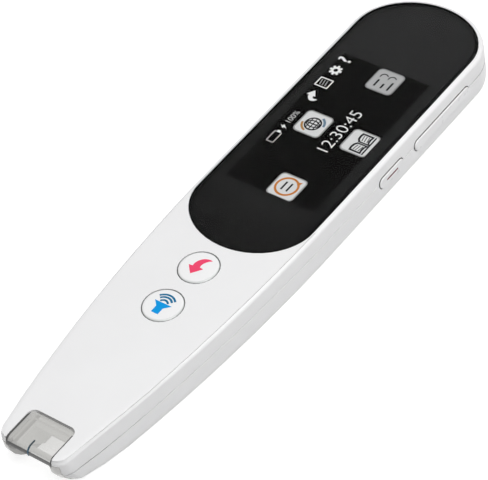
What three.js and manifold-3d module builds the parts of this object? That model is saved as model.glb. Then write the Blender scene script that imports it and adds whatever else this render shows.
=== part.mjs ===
// A hand-held scanning pen that reads a printed line aloud and shows it on a small screen.
// All lengths are in millimetres. The pen lies on its back: +Z points out of the screen, +Y runs
// from the scanning nose to the head, and +X is the side with the keys. The origin is on the
// surface that the pen lies on, under the middle of its length.
import * as THREE from "three";
import { mergeVertices } from "three/addons/utils/BufferGeometryUtils.js";
import Module from "manifold-3d";

const wasm = await Module();
wasm.setup();

// Case: one rounded slab, parted into an upper and a lower housing
const caseLength = 157.65;
const caseWidth = 34.8;
const caseThickness = 11.3;
const wall = 1.5;
const seamHeight = 6.2;
const topFillet = 1.6;
const bottomFillet = 2.6;
const innerFillet = 1.1;
const headRoundDepth = 14.4;
const taperKeyGap = 14.25;
const noseCornerHalfWidth = 9.35;
const noseCornerRadius = 3.2;
const noseTaperDegrees = 11.4;
const noseRake = 4.3;
const noseRakeHeight = 8;
const noseRakeReach = 19;
const noseRakePower = 1.5;
const noseLift = 1.4;

// Parting line: a shadow gap outside, a tongue and groove inside, and snap beads
const shadowGapHeight = 0.12;
const shadowGapDepth = 0.3;
const tongueInset = 0.95;
const tongueHeight = 0.8;
const tongueClearance = 0.1;
const beadLength = 5;
const beadHeight = 0.4;
const beadProud = 0.3;
const beadFirstPlace = 10;
const beadPitch = 26;

// Face: a deck under the glass and the front panel, in a shallow rim
const rimWidth = 0.7;
const glassRimWidth = 1.1;
const faceGap = 0.15;
const glassThickness = 1.1;
const adhesiveThickness = 0.15;
const deckThickness = 0.95;
const glassNoseEnd = 66.9;
const glassNoseRound = 13.3;
const panelGlassGap = 0.12;

// Face buttons: a domed cap, a flange that keeps it in, and a stem over its switch
const buttonGlassGap = 7.75;
const buttonPitch = 12.85;
const buttonCapRadius = 4.7;
const buttonHoleRadius = 4.92;
const buttonFlangeRadius = 5.5;
const buttonFlangeThickness = 0.6;
const buttonFlangeClearance = 0.1;
const buttonDeckHoleRadius = 5.8;
const buttonDome = 0.2;
const buttonEdgeRadius = 0.35;
const buttonStemRadius = 1.4;
const pressGap = 0.45;

// Screen
const screenGlassMargin = 18.6;
const screenHeadMargin = 25.95;
const screenSideMargin = 5.2;
const displayFrame = 1.1;
const displayFootLength = 1.5;
const displayThickness = 1.6;
const displayFootThickness = 0.8;
const displayCornerRadius = 0.8;
const displayClearance = 0.3;
const flexThickness = 0.2;
const displayFlexWidth = 9;
const displayFlexBossGap = 0.5;
const displayFlexLanding = 6;
const displayFlexSlot = 2.6;
const connectorHeight = 0.8;
const connectorLength = 2.4;
const connectorMargin = 0.6;

// Main board and what is on it
const boardThickness = 0.8;
const mainBoardHeight = 5;
const mainBoardSensorGap = 1.55;
const mainBoardDisplayGap = 3.1;
const boardInset = 2.4;
const screwX = 9.5;
const screwEdgeDistance = 3.2;
const bossRadius = 2;
const screwShankRadius = 0.6;
const screwHoleRadius = 0.75;
const screwHeadRadius = 1.4;
const screwHeadHeight = 0.8;
const screwLength = 3;
const shieldWidth = 16;
const shieldLength = 14;
const shieldHeight = 1.4;
const shieldPlace = 14.7;
const memoryWidth = 9;
const memoryLength = 7;
const memoryHeight = 0.9;
const memoryPlace = 28.7;
const faceSwitchWidth = 4.5;
const faceSwitchHeight = 1.6;

// Battery
const batterySpeakerGap = 1.95;
const batterySideGap = 1.65;
const batteryThickness = 4.2;
const batteryCornerRadius = 1.2;
const batteryEdge = 0.6;
const batteryBoardGap = 2.9;
const batteryFenceHeight = 2.2;
const batteryFenceWidth = 0.8;
const leadWidth = 2.2;
const leadThickness = 0.9;
const plugScrewGap = 0.3;
const plugWidth = 3.6;
const plugLength = 3.6;
const plugHeight = 1.3;

// Side keys
const keySlotBottom = 4.5;
const keySlotHeight = 3.4;
const powerSlotHeadPlace = 49.8;
const powerSlotLength = 9.8;
const powerSlotCorner = 1.6;
const rockerSlotHeadPlace = 29.2;
const rockerSlotLength = 22.8;
const rockerSlotCorner = 1.5;
const keyGap = 0.15;
const keyProud = 0.35;
const keyEdge = 0.25;
const keyFlangeThickness = 0.6;
const keyFlangeClearance = 0.2;
const keyFlangeMargin = 0.8;
const rockerThickness = 1.75;
const rockerPostReach = 8;
const rockerPostWidth = 1.8;
const rockerPostGap = 0.35;
const rockerLugWidth = 2.8;
const rockerPinRadius = 0.4;
const rockerPinDepth = 2.1;
const rockerPinClearance = 0.12;
const rockerPinSocket = 0.7;
const rockerBossWidth = 2.2;
const rockerBossGap = 0.3;
const sideBoardThickness = 0.6;
const sideBoardMargin = 2.6;
const sideBoardHeight = 6.4;
const sideSwitchWidth = 3.2;
const sideSwitchHeight = 0.9;
const sideRibThickness = 2;
const sideRibHeight = 3;
const slotClearance = 0.1;

// Scanning nose: a smoked window with two rounded feet
const tipProud = 0.15;
const windowHalfWidth = 6.2;
const windowLength = 9.35;
const windowCornerRadius = 1.77;
const windowSideGap = 0.15;
const windowBackGap = 0.5;
const paneThickness = 1;
const windowSkirt = 0.8;
const cheekInner = 5.8;
const footOuter = 7.85;
const footTop = 9.4;
const footGap = 0.15;
const footTopGap = 0.15;
const footLift = 0.35;
const footLength = 12.75;
const mouthLength = 13.45;
const armInner = 6.6;
const armBottom = 3.4;
const armHeight = 2;
const armSensorGap = 2.6;
const lugReach = 0.8;
const lugLength = 1.4;
const stopGap = 0.3;
const stopThickness = 1.3;
const solidNoseLength = 12;

// Scanner: light chamber, lamps, lens and image sensor
const chamberHalfWidth = 5;
const chamberWall = 0.8;
const chamberNoseEnd = 13.6;
const chamberHeadEnd = 21.35;
const hoodNoseEnd = 1.5;
const hoodTipGap = 0.15;
const hoodRoof = 0.8;
const hoodWall = 0.5;
const hoodViewNoseEnd = 2.55;
const hoodViewHeadEnd = 7.1;
const hoodSlopeFoot = 8.2;
const hoodLowEdge = 1.7;
const opticalHeight = 5.3;
const ledOffset = 3.8;
const ledWidth = 1.5;
const ledHeight = 1.2;
const ledDepth = 0.9;
const ledClearance = 0.2;
const ledBoardThickness = 0.6;
const ledBoardHeight = 6.8;
const barrelRadius = 2.3;
const barrelBore = 1.65;
const barrelLength = 4.6;
const barrelClearance = 0.1;
const barrelProud = 1.2;
const lensRadius = 1.6;
const lensThickness = 1.4;
const lensRecess = 0.4;
const holderGap = 0.4;
const holderHalfWidth = 4.4;
const holderHalfHeight = 3;
const holderLength = 5.6;
const holderWall = 0.9;
const sensorHalfWidth = 2.2;
const sensorThickness = 0.6;
const sensorBoardHalfWidth = 9.6;
const sensorBoardTopGap = 0.4;
const sensorRibReach = 0.4;
const sensorRibDepth = 3;
const sensorRibHeight = 4;
const tipSwitchWidth = 2.4;
const tipSwitchHeight = 2.15;
const springRadius = 0.9;
const springWire = 0.2;
const springTurns = 4;
const springTurnSteps = 10;
const springWireSteps = 3;

// Head: charging socket, its board and the loudspeaker
const chargeBoardHeight = 5.8;
const chargeBoardLength = 18.25;
const chargeScrewPlace = 3.5;
const chargeScrewSideGap = 3.65;
const boardNotchGap = 0.5;
const socketWidth = 8.94;
const socketHeight = 3.16;
const socketLength = 7.2;
const socketWall = 0.3;
const socketSet = 0.85;
const socketTongueWidth = 6.7;
const socketTongueThickness = 0.7;
const socketTongueLength = 4.5;
const socketClearance = 0.17;
const speakerScrewGap = 0.6;
const speakerLength = 11;
const speakerHeight = 3.2;
const speakerRecess = 0.5;
const speakerRim = 1.2;
const speakerPlace = 15.5;
const gasketThickness = 0.4;
const gasketWidth = 1.1;
const grilleHoleRadius = 0.6;
const grillePitch = 2;
const grilleColumns = 5;
const grilleRows = 2;
const linkFlexWidth = 4;
const linkFlexBossGap = 0.3;
const linkFlexLanding = 4;

// Cuts run past the faces that they open by this much
const overrun = 1;

// How finely round forms are cut into flat faces
const cornerSteps = 5;
const taperSteps = 11;
const headSteps = 12;
const filletSteps = 4;
const wallSteps = 3;
const roundSides = 28;
const lensSides = 16;
const smallSides = 12;

// Places that follow from the sizes
const headEnd = (caseLength + tipProud) / 2;
const noseFront = headEnd - caseLength;
const halfWidth = caseWidth / 2;
const powerY = headEnd - powerSlotHeadPlace;
const rockerY = headEnd - rockerSlotHeadPlace;
const speakerY = headEnd - speakerPlace;
const shoulder = powerY - powerSlotLength / 2 - taperKeyGap;
const headArcStart = headEnd - headRoundDepth;
const deckTop = caseThickness - glassThickness - adhesiveThickness;
const deckUnder = deckTop - deckThickness;
const floorTop = wall;
const boardTop = mainBoardHeight + boardThickness;
const innerWallX = halfWidth - wall;
const glassY0 = noseFront + glassNoseEnd;
const screenY0 = glassY0 + screenGlassMargin;
const backButtonY = glassY0 - buttonGlassGap;
const speakButtonY = backButtonY - buttonPitch;
const windowBack = noseFront + windowLength;
const chamberY0 = noseFront + chamberNoseEnd;
const chamberY1 = noseFront + chamberHeadEnd;
const ledBoardY1 = chamberY1 + ledBoardThickness;
const holderY0 = ledBoardY1 + holderGap;
const holderY1 = holderY0 + holderLength;
const sensorBoardY = holderY1 + boardThickness / 2;
const armEndY = holderY1 - armSensorGap;
const keyFlangeX1 = innerWallX - keyFlangeClearance;
const keyFlangeX0 = keyFlangeX1 - keyFlangeThickness;
const plungerTipX = keyFlangeX0 - pressGap;
const sideBoardX = plungerTipX - sideSwitchHeight - sideBoardThickness;
const chargeScrewX = sideBoardX - chargeScrewSideGap;

// A closed mesh becomes a solid that can be cut and joined
function solid(geometry) {
  const bare = geometry.clone();
  bare.deleteAttribute("normal");
  bare.deleteAttribute("uv");
  const merged = mergeVertices(bare);
  return new wasm.Manifold(
    new wasm.Mesh({
      numProp: 3,
      vertProperties: new Float32Array(merged.attributes.position.array),
      triVerts: new Uint32Array(merged.index.array),
    })
  );
}

function geometryOf(body) {
  const mesh = body.getMesh();
  const geometry = new THREE.BufferGeometry();
  geometry.setAttribute("position", new THREE.BufferAttribute(mesh.vertProperties, 3));
  geometry.setIndex(new THREE.BufferAttribute(mesh.triVerts, 1));
  const faceted = geometry.toNonIndexed();
  faceted.computeVertexNormals();
  return faceted;
}

function block(x0, x1, y0, y1, z0, z1) {
  const box = new THREE.BoxGeometry(x1 - x0, y1 - y0, z1 - z0);
  box.translate((x0 + x1) / 2, (y0 + y1) / 2, (z0 + z1) / 2);
  return solid(box);
}

function post(x, y, radius, z0, z1, sides = smallSides) {
  const cylinder = new THREE.CylinderGeometry(radius, radius, z1 - z0, sides);
  cylinder.rotateX(Math.PI / 2);
  cylinder.translate(x, y, (z0 + z1) / 2);
  return solid(cylinder);
}

function rodAlongY(x, z, radius, y0, y1, sides = roundSides) {
  const cylinder = new THREE.CylinderGeometry(radius, radius, y1 - y0, sides);
  cylinder.translate(x, (y0 + y1) / 2, z);
  return solid(cylinder);
}

function roundedRectangle(width, length, radius) {
  const x = width / 2;
  const y = length / 2;
  const shape = new THREE.Shape();
  shape.moveTo(radius - x, -y);
  shape.lineTo(x - radius, -y);
  shape.absarc(x - radius, radius - y, radius, -Math.PI / 2, 0, false);
  shape.lineTo(x, y - radius);
  shape.absarc(x - radius, y - radius, radius, 0, Math.PI / 2, false);
  shape.lineTo(radius - x, y);
  shape.absarc(radius - x, y - radius, radius, Math.PI / 2, Math.PI, false);
  shape.lineTo(-x, radius - y);
  shape.absarc(radius - x, radius - y, radius, Math.PI, 1.5 * Math.PI, false);
  return shape;
}

function extruded(shape, depth, edge = 0) {
  return new THREE.ExtrudeGeometry(shape, {
    depth: depth - 2 * edge,
    bevelEnabled: edge > 0,
    bevelThickness: edge,
    bevelSize: edge,
    bevelOffset: -edge,
    bevelSegments: 2,
    curveSegments: 4,
  }).translate(0, 0, edge);
}

// A plate lies flat, with its outline centred on x, y and its underside at z0
function plate(shape, x, y, z0, z1, edge = 0) {
  return solid(extruded(shape, z1 - z0, edge).translate(x, y, z0));
}

// A slab stands across the side wall: its outline is in Y and Z, and it runs from x0 to x1
function slabAlongX(shape, y, z, x0, x1, edge = 0) {
  const geometry = extruded(shape, x1 - x0, edge);
  const turn = new THREE.Matrix4().makeBasis(
    new THREE.Vector3(0, 1, 0),
    new THREE.Vector3(0, 0, 1),
    new THREE.Vector3(1, 0, 0)
  );
  geometry.applyMatrix4(turn).translate(x0, y, z);
  return solid(geometry);
}

// A slab that stands across the pen: its outline is in X and Z, and it runs from y0 to y1
function slabAlongY(shape, x, z, y0, y1) {
  const geometry = extruded(shape, y1 - y0);
  geometry.rotateX(Math.PI / 2).translate(x, y1, z);
  return solid(geometry);
}

// A turned solid whose profile, in radius and height, starts and ends on the axis
function turned(profile, sides = roundSides) {
  const points = profile.map(([radius, height]) => new THREE.Vector2(radius, height));
  return new THREE.LatheGeometry(points, sides).rotateX(Math.PI / 2);
}

// Plan view of the case, from the middle of the nose round the key side to the head and back
function casePlan() {
  const taper = THREE.MathUtils.degToRad(noseTaperDegrees);
  const cornerX = noseCornerHalfWidth - noseCornerRadius * Math.cos(taper);
  const cornerY = noseFront + noseCornerRadius;
  const taperFootY = cornerY - noseCornerRadius * Math.sin(taper);
  const taperBendY = taperFootY + (halfWidth - noseCornerHalfWidth) / Math.tan(taper);
  const path = new THREE.Path();
  path.moveTo(0, noseFront);
  path.lineTo(cornerX, noseFront);
  path.absarc(cornerX, cornerY, noseCornerRadius, -Math.PI / 2, -taper, false);
  path.quadraticCurveTo(halfWidth, taperBendY, halfWidth, shoulder);
  path.lineTo(halfWidth, headArcStart);
  path.absellipse(0, headArcStart, halfWidth, headRoundDepth, 0, Math.PI / 2, false, 0);
  const steps = [1, cornerSteps, taperSteps, 1, headSteps];
  const edges = path.curves.filter((curve) => curve.getLength() > 0);
  const half = edges.flatMap((curve, i) => curve.getPoints(steps[i]).slice(1));
  const other = half.slice(0, -1).map((point) => new THREE.Vector2(-point.x, point.y));
  return [...half, ...other.reverse()];
}

const plan = casePlan();

// The plan moved inwards, with each corner kept at its own distance from both its edges
function insetPlan(inset) {
  return plan.map((point, i) => {
    const before = plan[(i + plan.length - 1) % plan.length];
    const after = plan[(i + 1) % plan.length];
    const arriving = point.clone().sub(before).normalize();
    const leaving = after.clone().sub(point).normalize();
    const along = arriving.add(leaving).normalize();
    const reach = inset / along.dot(leaving);
    return new THREE.Vector2(point.x - along.y * reach, point.y + along.x * reach);
  });
}

// One level of the case: towards its underside the nose falls back and its underside rises
function caseLevel(inset, height, proud) {
  const below = Math.max(0, noseRakeHeight - height) / noseRakeHeight;
  const fall = noseRake * below ** noseRakePower - proud;
  const rise = noseLift * Math.max(0, 1 - height / seamHeight);
  return insetPlan(inset).map((point) => {
    const ahead = (Math.max(0, noseFront + noseRakeReach - point.y) / noseRakeReach) ** 2;
    return new THREE.Vector3(point.x, point.y + fall * ahead, height + rise * ahead);
  });
}

// Levels of equal count, from the lowest up, skinned into one closed body. Each end is closed by
// strips that run straight across the pen, from each point to the one opposite.
function skinned(levels) {
  const count = levels[0].length;
  const positions = levels.flat().flatMap((point) => point.toArray());
  const faces = [];
  for (let level = 0; level + 1 < levels.length; level++) {
    for (let i = 0; i < count; i++) {
      const a = level * count + i;
      const b = level * count + ((i + 1) % count);
      faces.push(a, b, b + count, a, b + count, a + count);
    }
  }
  const top = (levels.length - 1) * count;
  for (let i = 0; 2 * i + 1 < count; i++) {
    const opposite = count - 1 - i;
    faces.push(i, opposite, i + 1, top + i, top + i + 1, top + opposite);
    if (i + 1 < opposite - 1) {
      faces.push(i + 1, opposite, opposite - 1, top + i + 1, top + opposite - 1, top + opposite);
    }
  }
  const geometry = new THREE.BufferGeometry();
  geometry.setAttribute("position", new THREE.Float32BufferAttribute(positions, 3));
  geometry.setIndex(faces);
  return solid(geometry);
}

// The case's own form between two heights, moved inwards by inset, with rounded lower and upper edges
function caseForm({ inset = 0, bottom = 0, top = caseThickness, low = 0, high = 0, proud = 0 }) {
  const levels = [];
  const quarter = (step) => (step / filletSteps) * (Math.PI / 2);
  if (low > 0) {
    for (let step = 0; step < filletSteps; step++) {
      const turn = quarter(step);
      levels.push([inset + low * (1 - Math.sin(turn)), bottom + low * (1 - Math.cos(turn))]);
    }
  }
  for (let step = 0; step <= wallSteps; step++) {
    const share = step / wallSteps;
    levels.push([inset, (bottom + low) * (1 - share) + (top - high) * share]);
  }
  if (high > 0) {
    for (let step = 1; step <= filletSteps; step++) {
      const turn = quarter(step);
      levels.push([inset + high * (1 - Math.cos(turn)), top - high * (1 - Math.sin(turn))]);
    }
  }
  return skinned(levels.map(([move, height]) => caseLevel(move, height, proud)));
}

const outerCase = caseForm({ low: bottomFillet, high: topFillet });
const acrossAll = halfWidth + overrun;
const behindNose = noseFront + solidNoseLength;

// Everything behind a place along the pen, between two heights
function behind(y, z0, z1) {
  return block(-acrossAll, acrossAll, y, headEnd + overrun, z0, z1);
}

const pen = new THREE.Group();

function addPiece(name, body, material, place = [0, 0, 0]) {
  const geometry = body.isBufferGeometry ? body : geometryOf(body);
  const piece = new THREE.Mesh(geometry, material);
  piece.name = name;
  piece.position.set(...place);
  pen.add(piece);
  return piece;
}

function finish(color, roughness, metalness = 0) {
  return new THREE.MeshStandardMaterial({ color, roughness, metalness });
}

const whitePlastic = finish(0xf1f1f1, 0.38);
const blackGlass = finish(0x121314, 0.12);
const smokedPlastic = finish(0x8d8d88, 0.15);
const greyPlastic = finish(0xb9b9b5, 0.6);
const blackPlastic = finish(0x17181a, 0.55);
const circuitBoard = finish(0x1f5f3d, 0.5);
const chipPlastic = finish(0x202124, 0.6);
const steel = finish(0xb8babd, 0.35, 0.9);
const brightSteel = finish(0xcfd2d6, 0.25, 0.95);
const polyimide = finish(0xb5722a, 0.45);
const pouchFoil = finish(0x9aa0a6, 0.4, 0.5);
const foam = finish(0x2a2a2a, 0.95);
const lensGlass = finish(0x2b3340, 0.05);
const ledPhosphor = finish(0xf3e6a8, 0.4);
const clearAdhesive = finish(0x3a3a3c, 0.7);
const screenBlack = finish(0x0c0d10, 0.3);

// Window outline in the face: open at the nose, rounded at its two inner corners
function windowPlate(halfGap, backGap, z0, z1) {
  const width = 2 * (windowHalfWidth + halfGap);
  const front = noseFront - tipProud - windowCornerRadius - overrun;
  const back = windowBack - backGap;
  const shape = roundedRectangle(width, back - front, windowCornerRadius);
  return plate(shape, 0, (front + back) / 2, z0, z1);
}

// Glass outline: it follows the case round the head and ends towards the nose in a half ellipse
function glassPlate(inset, bottom, top) {
  const noseEnd = noseFront + glassNoseEnd + inset - glassRimWidth - faceGap;
  const arcStart = glassY0 + glassNoseRound;
  const half = halfWidth - inset;
  const shape = new THREE.Shape();
  shape.moveTo(half, arcStart);
  shape.lineTo(half, headEnd + overrun);
  shape.lineTo(-half, headEnd + overrun);
  shape.lineTo(-half, arcStart);
  shape.absellipse(0, arcStart, half, arcStart - noseEnd, Math.PI, 2 * Math.PI, false, 0);
  const cut = new THREE.ExtrudeGeometry(shape, {
    depth: top - bottom,
    bevelEnabled: false,
    curveSegments: headSteps,
  });
  return caseForm({ inset, bottom, top }).intersect(solid(cut.translate(0, 0, bottom)));
}

// Slots through the key-side wall
const keyMiddle = keySlotBottom + keySlotHeight / 2;

function keySlots() {
  const power = roundedRectangle(powerSlotLength, keySlotHeight, powerSlotCorner);
  const rocker = roundedRectangle(rockerSlotLength, keySlotHeight, rockerSlotCorner);
  const inside = innerWallX - overrun;
  const outside = halfWidth + overrun;
  return slabAlongX(power, powerY, keyMiddle, inside, outside).add(
    slabAlongX(rocker, rockerY, keyMiddle, inside, outside)
  );
}

// Main board between the sensor board and the screen's foot, charging board at the head, and the
// places of their screws
const mainBoardY0 = sensorBoardY + boardThickness / 2 + mainBoardSensorGap;
const mainBoardY1 = screenY0 - displayFrame - displayFootLength - mainBoardDisplayGap;
const screwPlaces = [mainBoardY0 + screwEdgeDistance, mainBoardY1 - screwEdgeDistance].flatMap(
  (y) => [-screwX, screwX].map((x) => ({ x, y }))
);
const chargeBoardY1 = headEnd - boardInset;
const chargeBoardY0 = chargeBoardY1 - chargeBoardLength;
const chargeScrewPlaces = [-chargeScrewX, chargeScrewX].map((x) => ({
  x,
  y: chargeBoardY0 + chargeScrewPlace,
}));
const chargeBoardTop = chargeBoardHeight + boardThickness;

function boss(x, y, underside) {
  const pillar = post(x, y, bossRadius, underside, deckUnder + deckThickness / 2);
  const pilot = post(x, y, screwHoleRadius, underside - overrun, deckUnder);
  return { pillar, pilot };
}

// Snap beads on the tongue, along the straight part of both sides but clear of the key slots
const beadPlaces = [-1, 1].flatMap((side) => {
  const first = shoulder + beadFirstPlace;
  const last = side > 0 ? powerY - powerSlotLength / 2 - beadLength : headArcStart;
  const places = [];
  for (let y = first; y < last; y += beadPitch) {
    places.push({ side, y });
  }
  return places;
});

function beads(grow) {
  const faceX = halfWidth - tongueInset;
  const middle = seamHeight + tongueHeight / 2;
  return beadPlaces
    .map(({ side, y }) => {
      const near = side * (faceX - beadProud);
      const far = side * (faceX + beadProud + grow);
      const half = beadLength / 2 + grow;
      const tall = beadHeight / 2 + grow;
      return block(
        Math.min(near, far),
        Math.max(near, far),
        y - half,
        y + half,
        middle - tall,
        middle + tall
      );
    })
    .reduce((all, one) => all.add(one));
}

// Upper housing: the side wall above the seam, the rim, and the deck that the face is bonded to
function upperHousing() {
  const below = block(
    -acrossAll,
    acrossAll,
    noseFront - overrun,
    headEnd + overrun,
    -overrun,
    seamHeight
  );
  const cavity = caseForm({ inset: wall, bottom: seamHeight - overrun, top: deckUnder }).intersect(
    behind(behindNose, -overrun, caseThickness)
  );
  const grooveTop = seamHeight + tongueHeight + tongueClearance;
  const groove = caseForm({
    inset: tongueInset - tongueClearance,
    bottom: seamHeight - overrun,
    top: grooveTop,
  }).intersect(behind(behindNose, -overrun, caseThickness));
  const pocket = caseForm({ inset: rimWidth, bottom: deckTop, top: caseThickness + overrun });
  const glassEnd = glassPlate(glassRimWidth, deckTop, caseThickness + overrun);
  const panelEnd = pocket.subtract(
    behind(glassY0 + glassNoseRound, deckTop - overrun, caseThickness + 2 * overrun)
  );
  const chamberRoom = block(
    -chamberHalfWidth - slotClearance,
    chamberHalfWidth + slotClearance,
    noseFront,
    behindNose + overrun,
    seamHeight - overrun,
    deckUnder
  );
  const footRoom = block(
    -footOuter - footGap,
    footOuter + footGap,
    noseFront - overrun,
    noseFront + mouthLength,
    -overrun,
    footTop + footTopGap
  );
  const displayOpening = plate(
    roundedRectangle(
      displayWidth + 2 * displayClearance,
      displayLength + 2 * displayClearance,
      displayCornerRadius
    ),
    0,
    displayMiddle,
    deckUnder - overrun,
    deckTop + overrun
  );
  let body = outerCase
    .subtract(below)
    .subtract(cavity)
    .subtract(groove)
    .subtract(beads(tongueClearance))
    .subtract(glassEnd)
    .subtract(panelEnd)
    .subtract(chamberRoom)
    .subtract(footRoom)
    .subtract(displayOpening)
    .subtract(windowPlate(windowSideGap, 0, 0, caseThickness + overrun));
  for (const y of [speakButtonY, backButtonY]) {
    const hole = post(0, y, buttonDeckHoleRadius, deckUnder - overrun, deckTop + overrun, roundSides);
    body = body.subtract(hole);
  }
  const flexSlot = block(
    displayFlexOffset - displayFlexWidth / 2 - displayClearance,
    displayFlexOffset + displayFlexWidth / 2 + displayClearance,
    displayMiddle - displayLength / 2 - displayFlexSlot,
    displayMiddle,
    deckUnder - overrun,
    deckTop + overrun
  );
  body = body.subtract(flexSlot);
  const bosses = [
    ...screwPlaces.map(({ x, y }) => boss(x, y, boardTop)),
    ...chargeScrewPlaces.map(({ x, y }) => boss(x, y, chargeBoardTop)),
  ];
  for (const { pillar, pilot } of bosses) {
    body = body.add(pillar).subtract(pilot);
  }
  const pinBoss = block(
    rockerPinX - rockerBossWidth / 2,
    innerWallX + wall / 2,
    rockerY - rockerBossWidth / 2,
    rockerY + rockerBossWidth / 2,
    keySlotBottom + keySlotHeight + rockerBossGap,
    deckUnder + deckThickness / 2
  );
  return body.add(pinBoss).subtract(rockerPinSockets()).subtract(keySlots());
}

// Lower housing: the back shell with the tongue that enters the upper housing
function lowerHousing() {
  const seamCut = (z) =>
    block(
      -acrossAll,
      acrossAll,
      noseFront - overrun,
      headEnd + overrun,
      z,
      caseThickness + overrun
    );
  const skin = outerCase.subtract(seamCut(seamHeight - shadowGapHeight));
  const core = outerCase
    .intersect(caseForm({ inset: shadowGapDepth, top: caseThickness + overrun }))
    .subtract(seamCut(seamHeight));
  const tongue = caseForm({
    inset: tongueInset,
    bottom: seamHeight - overrun,
    top: seamHeight + tongueHeight,
  }).intersect(behind(behindNose + tongueClearance, 0, caseThickness));
  const cavity = caseForm({
    inset: wall,
    bottom: floorTop,
    top: caseThickness + overrun,
    low: innerFillet,
  }).intersect(behind(behindNose, 0, caseThickness + overrun));
  const footRoom = block(
    -footOuter - footGap,
    footOuter + footGap,
    noseFront - overrun,
    noseFront + mouthLength,
    -overrun,
    caseThickness
  );
  let body = skin.add(core).add(tongue).add(beads(0)).subtract(cavity).subtract(footRoom);
  for (const rib of lowerRibs()) {
    body = body.add(rib);
  }
  for (const cut of lowerCuts()) {
    body = body.subtract(cut);
  }
  return body;
}

// Ribs on the floor: the battery fence, the slots of the standing boards, the tip stops, the pin boss
function lowerRibs() {
  const sunk = floorTop - wall / 2;
  const ribs = [];
  const outer = roundedRectangle(
    batteryWidth + 2 * (slotClearance + batteryFenceWidth),
    batteryLength + 2 * (slotClearance + batteryFenceWidth),
    batteryCornerRadius + batteryFenceWidth
  );
  const inner = roundedRectangle(
    batteryWidth + 2 * slotClearance,
    batteryLength + 2 * slotClearance,
    batteryCornerRadius
  );
  const fenceTop = floorTop + batteryFenceHeight;
  ribs.push(
    plate(outer, 0, batteryMiddle, sunk, fenceTop).subtract(
      plate(inner, 0, batteryMiddle, floorTop, fenceTop + overrun)
    )
  );
  for (const side of [-1, 1]) {
    const near = side * (sensorBoardHalfWidth - sensorRibReach);
    const far = side * (sensorBoardHalfWidth + sensorRibReach + sensorRibDepth / 2);
    ribs.push(
      block(
        Math.min(near, far),
        Math.max(near, far),
        sensorBoardY - sensorRibDepth / 2,
        sensorBoardY + sensorRibDepth / 2,
        sunk,
        floorTop + sensorRibHeight
      )
    );
    const stopNear = side * (footOuter + footGap);
    const stopFar = side * (footOuter + lugReach + stopThickness);
    ribs.push(
      block(
        Math.min(stopNear, stopFar),
        Math.max(stopNear, stopFar),
        lugFront - stopGap - stopThickness,
        lugFront - stopGap,
        sunk,
        armBottom + armHeight
      )
    );
  }
  for (const y of [sideBoardY0, sideBoardY1]) {
    ribs.push(
      block(
        sideBoardX - sideBoardThickness,
        sideBoardX + 2 * sideBoardThickness,
        y - sideRibThickness / 2,
        y + sideRibThickness / 2,
        sunk,
        floorTop + sideRibHeight
      )
    );
  }
  ribs.push(
    block(
      rockerPinX - rockerBossWidth / 2,
      innerWallX + wall / 2,
      rockerY - rockerBossWidth / 2,
      rockerY + rockerBossWidth / 2,
      sunk,
      keySlotBottom - rockerBossGap
    )
  );
  return ribs;
}

// Openings in the back shell: board slots, key slots, pin socket, charging port and loudspeaker holes
function lowerCuts() {
  const cuts = [keySlots(), rockerPinSockets()];
  cuts.push(
    block(
      -chamberHalfWidth - slotClearance,
      chamberHalfWidth + slotClearance,
      noseFront + mouthLength - overrun,
      chamberY1 + overrun,
      floorTop,
      caseThickness
    )
  );
  cuts.push(
    block(
      -sensorBoardHalfWidth - slotClearance,
      sensorBoardHalfWidth + slotClearance,
      sensorBoardY - boardThickness / 2 - slotClearance,
      sensorBoardY + boardThickness / 2 + slotClearance,
      floorTop,
      caseThickness
    )
  );
  cuts.push(
    block(
      sideBoardX - slotClearance,
      sideBoardX + sideBoardThickness + slotClearance,
      sideBoardY0 - slotClearance,
      sideBoardY1 + slotClearance,
      floorTop,
      caseThickness
    )
  );
  const port = roundedRectangle(
    socketWidth + 2 * socketClearance,
    socketHeight + 2 * socketClearance,
    socketHeight / 2
  );
  cuts.push(slabAlongY(port, 0, socketMiddle, socketY1 - wall - overrun, headEnd + overrun));
  for (let row = 0; row < grilleRows; row++) {
    for (let column = 0; column < grilleColumns; column++) {
      const x = (column - (grilleColumns - 1) / 2) * grillePitch;
      const y = speakerY + (row - (grilleRows - 1) / 2) * grillePitch;
      cuts.push(post(x, y, grilleHoleRadius, -overrun, floorTop + overrun, smallSides));
    }
  }
  return cuts;
}

// Front panel: bonded to the deck between the glass and the nose, with two button holes
function frontPanel() {
  const blank = caseForm({ high: topFillet }).intersect(
    caseForm({ inset: rimWidth + faceGap, bottom: deckTop, top: caseThickness + overrun })
  );
  let body = blank
    .subtract(glassPlate(glassRimWidth + faceGap - panelGlassGap, 0, caseThickness + overrun))
    .subtract(
      behind(glassY0 + glassNoseRound, -overrun, caseThickness + overrun)
    )
    .subtract(windowPlate(windowSideGap, 0, 0, caseThickness + overrun));
  for (const y of [speakButtonY, backButtonY]) {
    body = body.subtract(post(0, y, buttonHoleRadius, 0, caseThickness + overrun, roundSides));
  }
  return body;
}

// Cover glass: its edge takes up the case's own fillet
function coverGlass() {
  return caseForm({ high: topFillet })
    .intersect(glassPlate(glassRimWidth + faceGap, glassUnder, caseThickness + overrun));
}

const glassUnder = caseThickness - glassThickness;
const displayWidth = caseWidth - 2 * screenSideMargin + 2 * displayFrame;
const displayNoseEnd = screenY0 - displayFrame;
const displayHeadEnd = headEnd - screenHeadMargin + displayFrame;
const displayLength = displayHeadEnd - displayNoseEnd + displayFootLength;
const displayMiddle = displayHeadEnd - displayLength / 2;
const displayUnder = glassUnder - displayThickness;

// Adhesive: a thin film between the deck and the glass, open round the screen
function glassAdhesive() {
  const inset = glassRimWidth + faceGap;
  const opening = roundedRectangle(
    displayWidth + 2 * displayClearance,
    displayLength + 2 * displayClearance,
    displayCornerRadius
  );
  return glassPlate(inset, deckTop, glassUnder).subtract(
    plate(opening, 0, displayMiddle, 0, caseThickness)
  );
}

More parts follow.
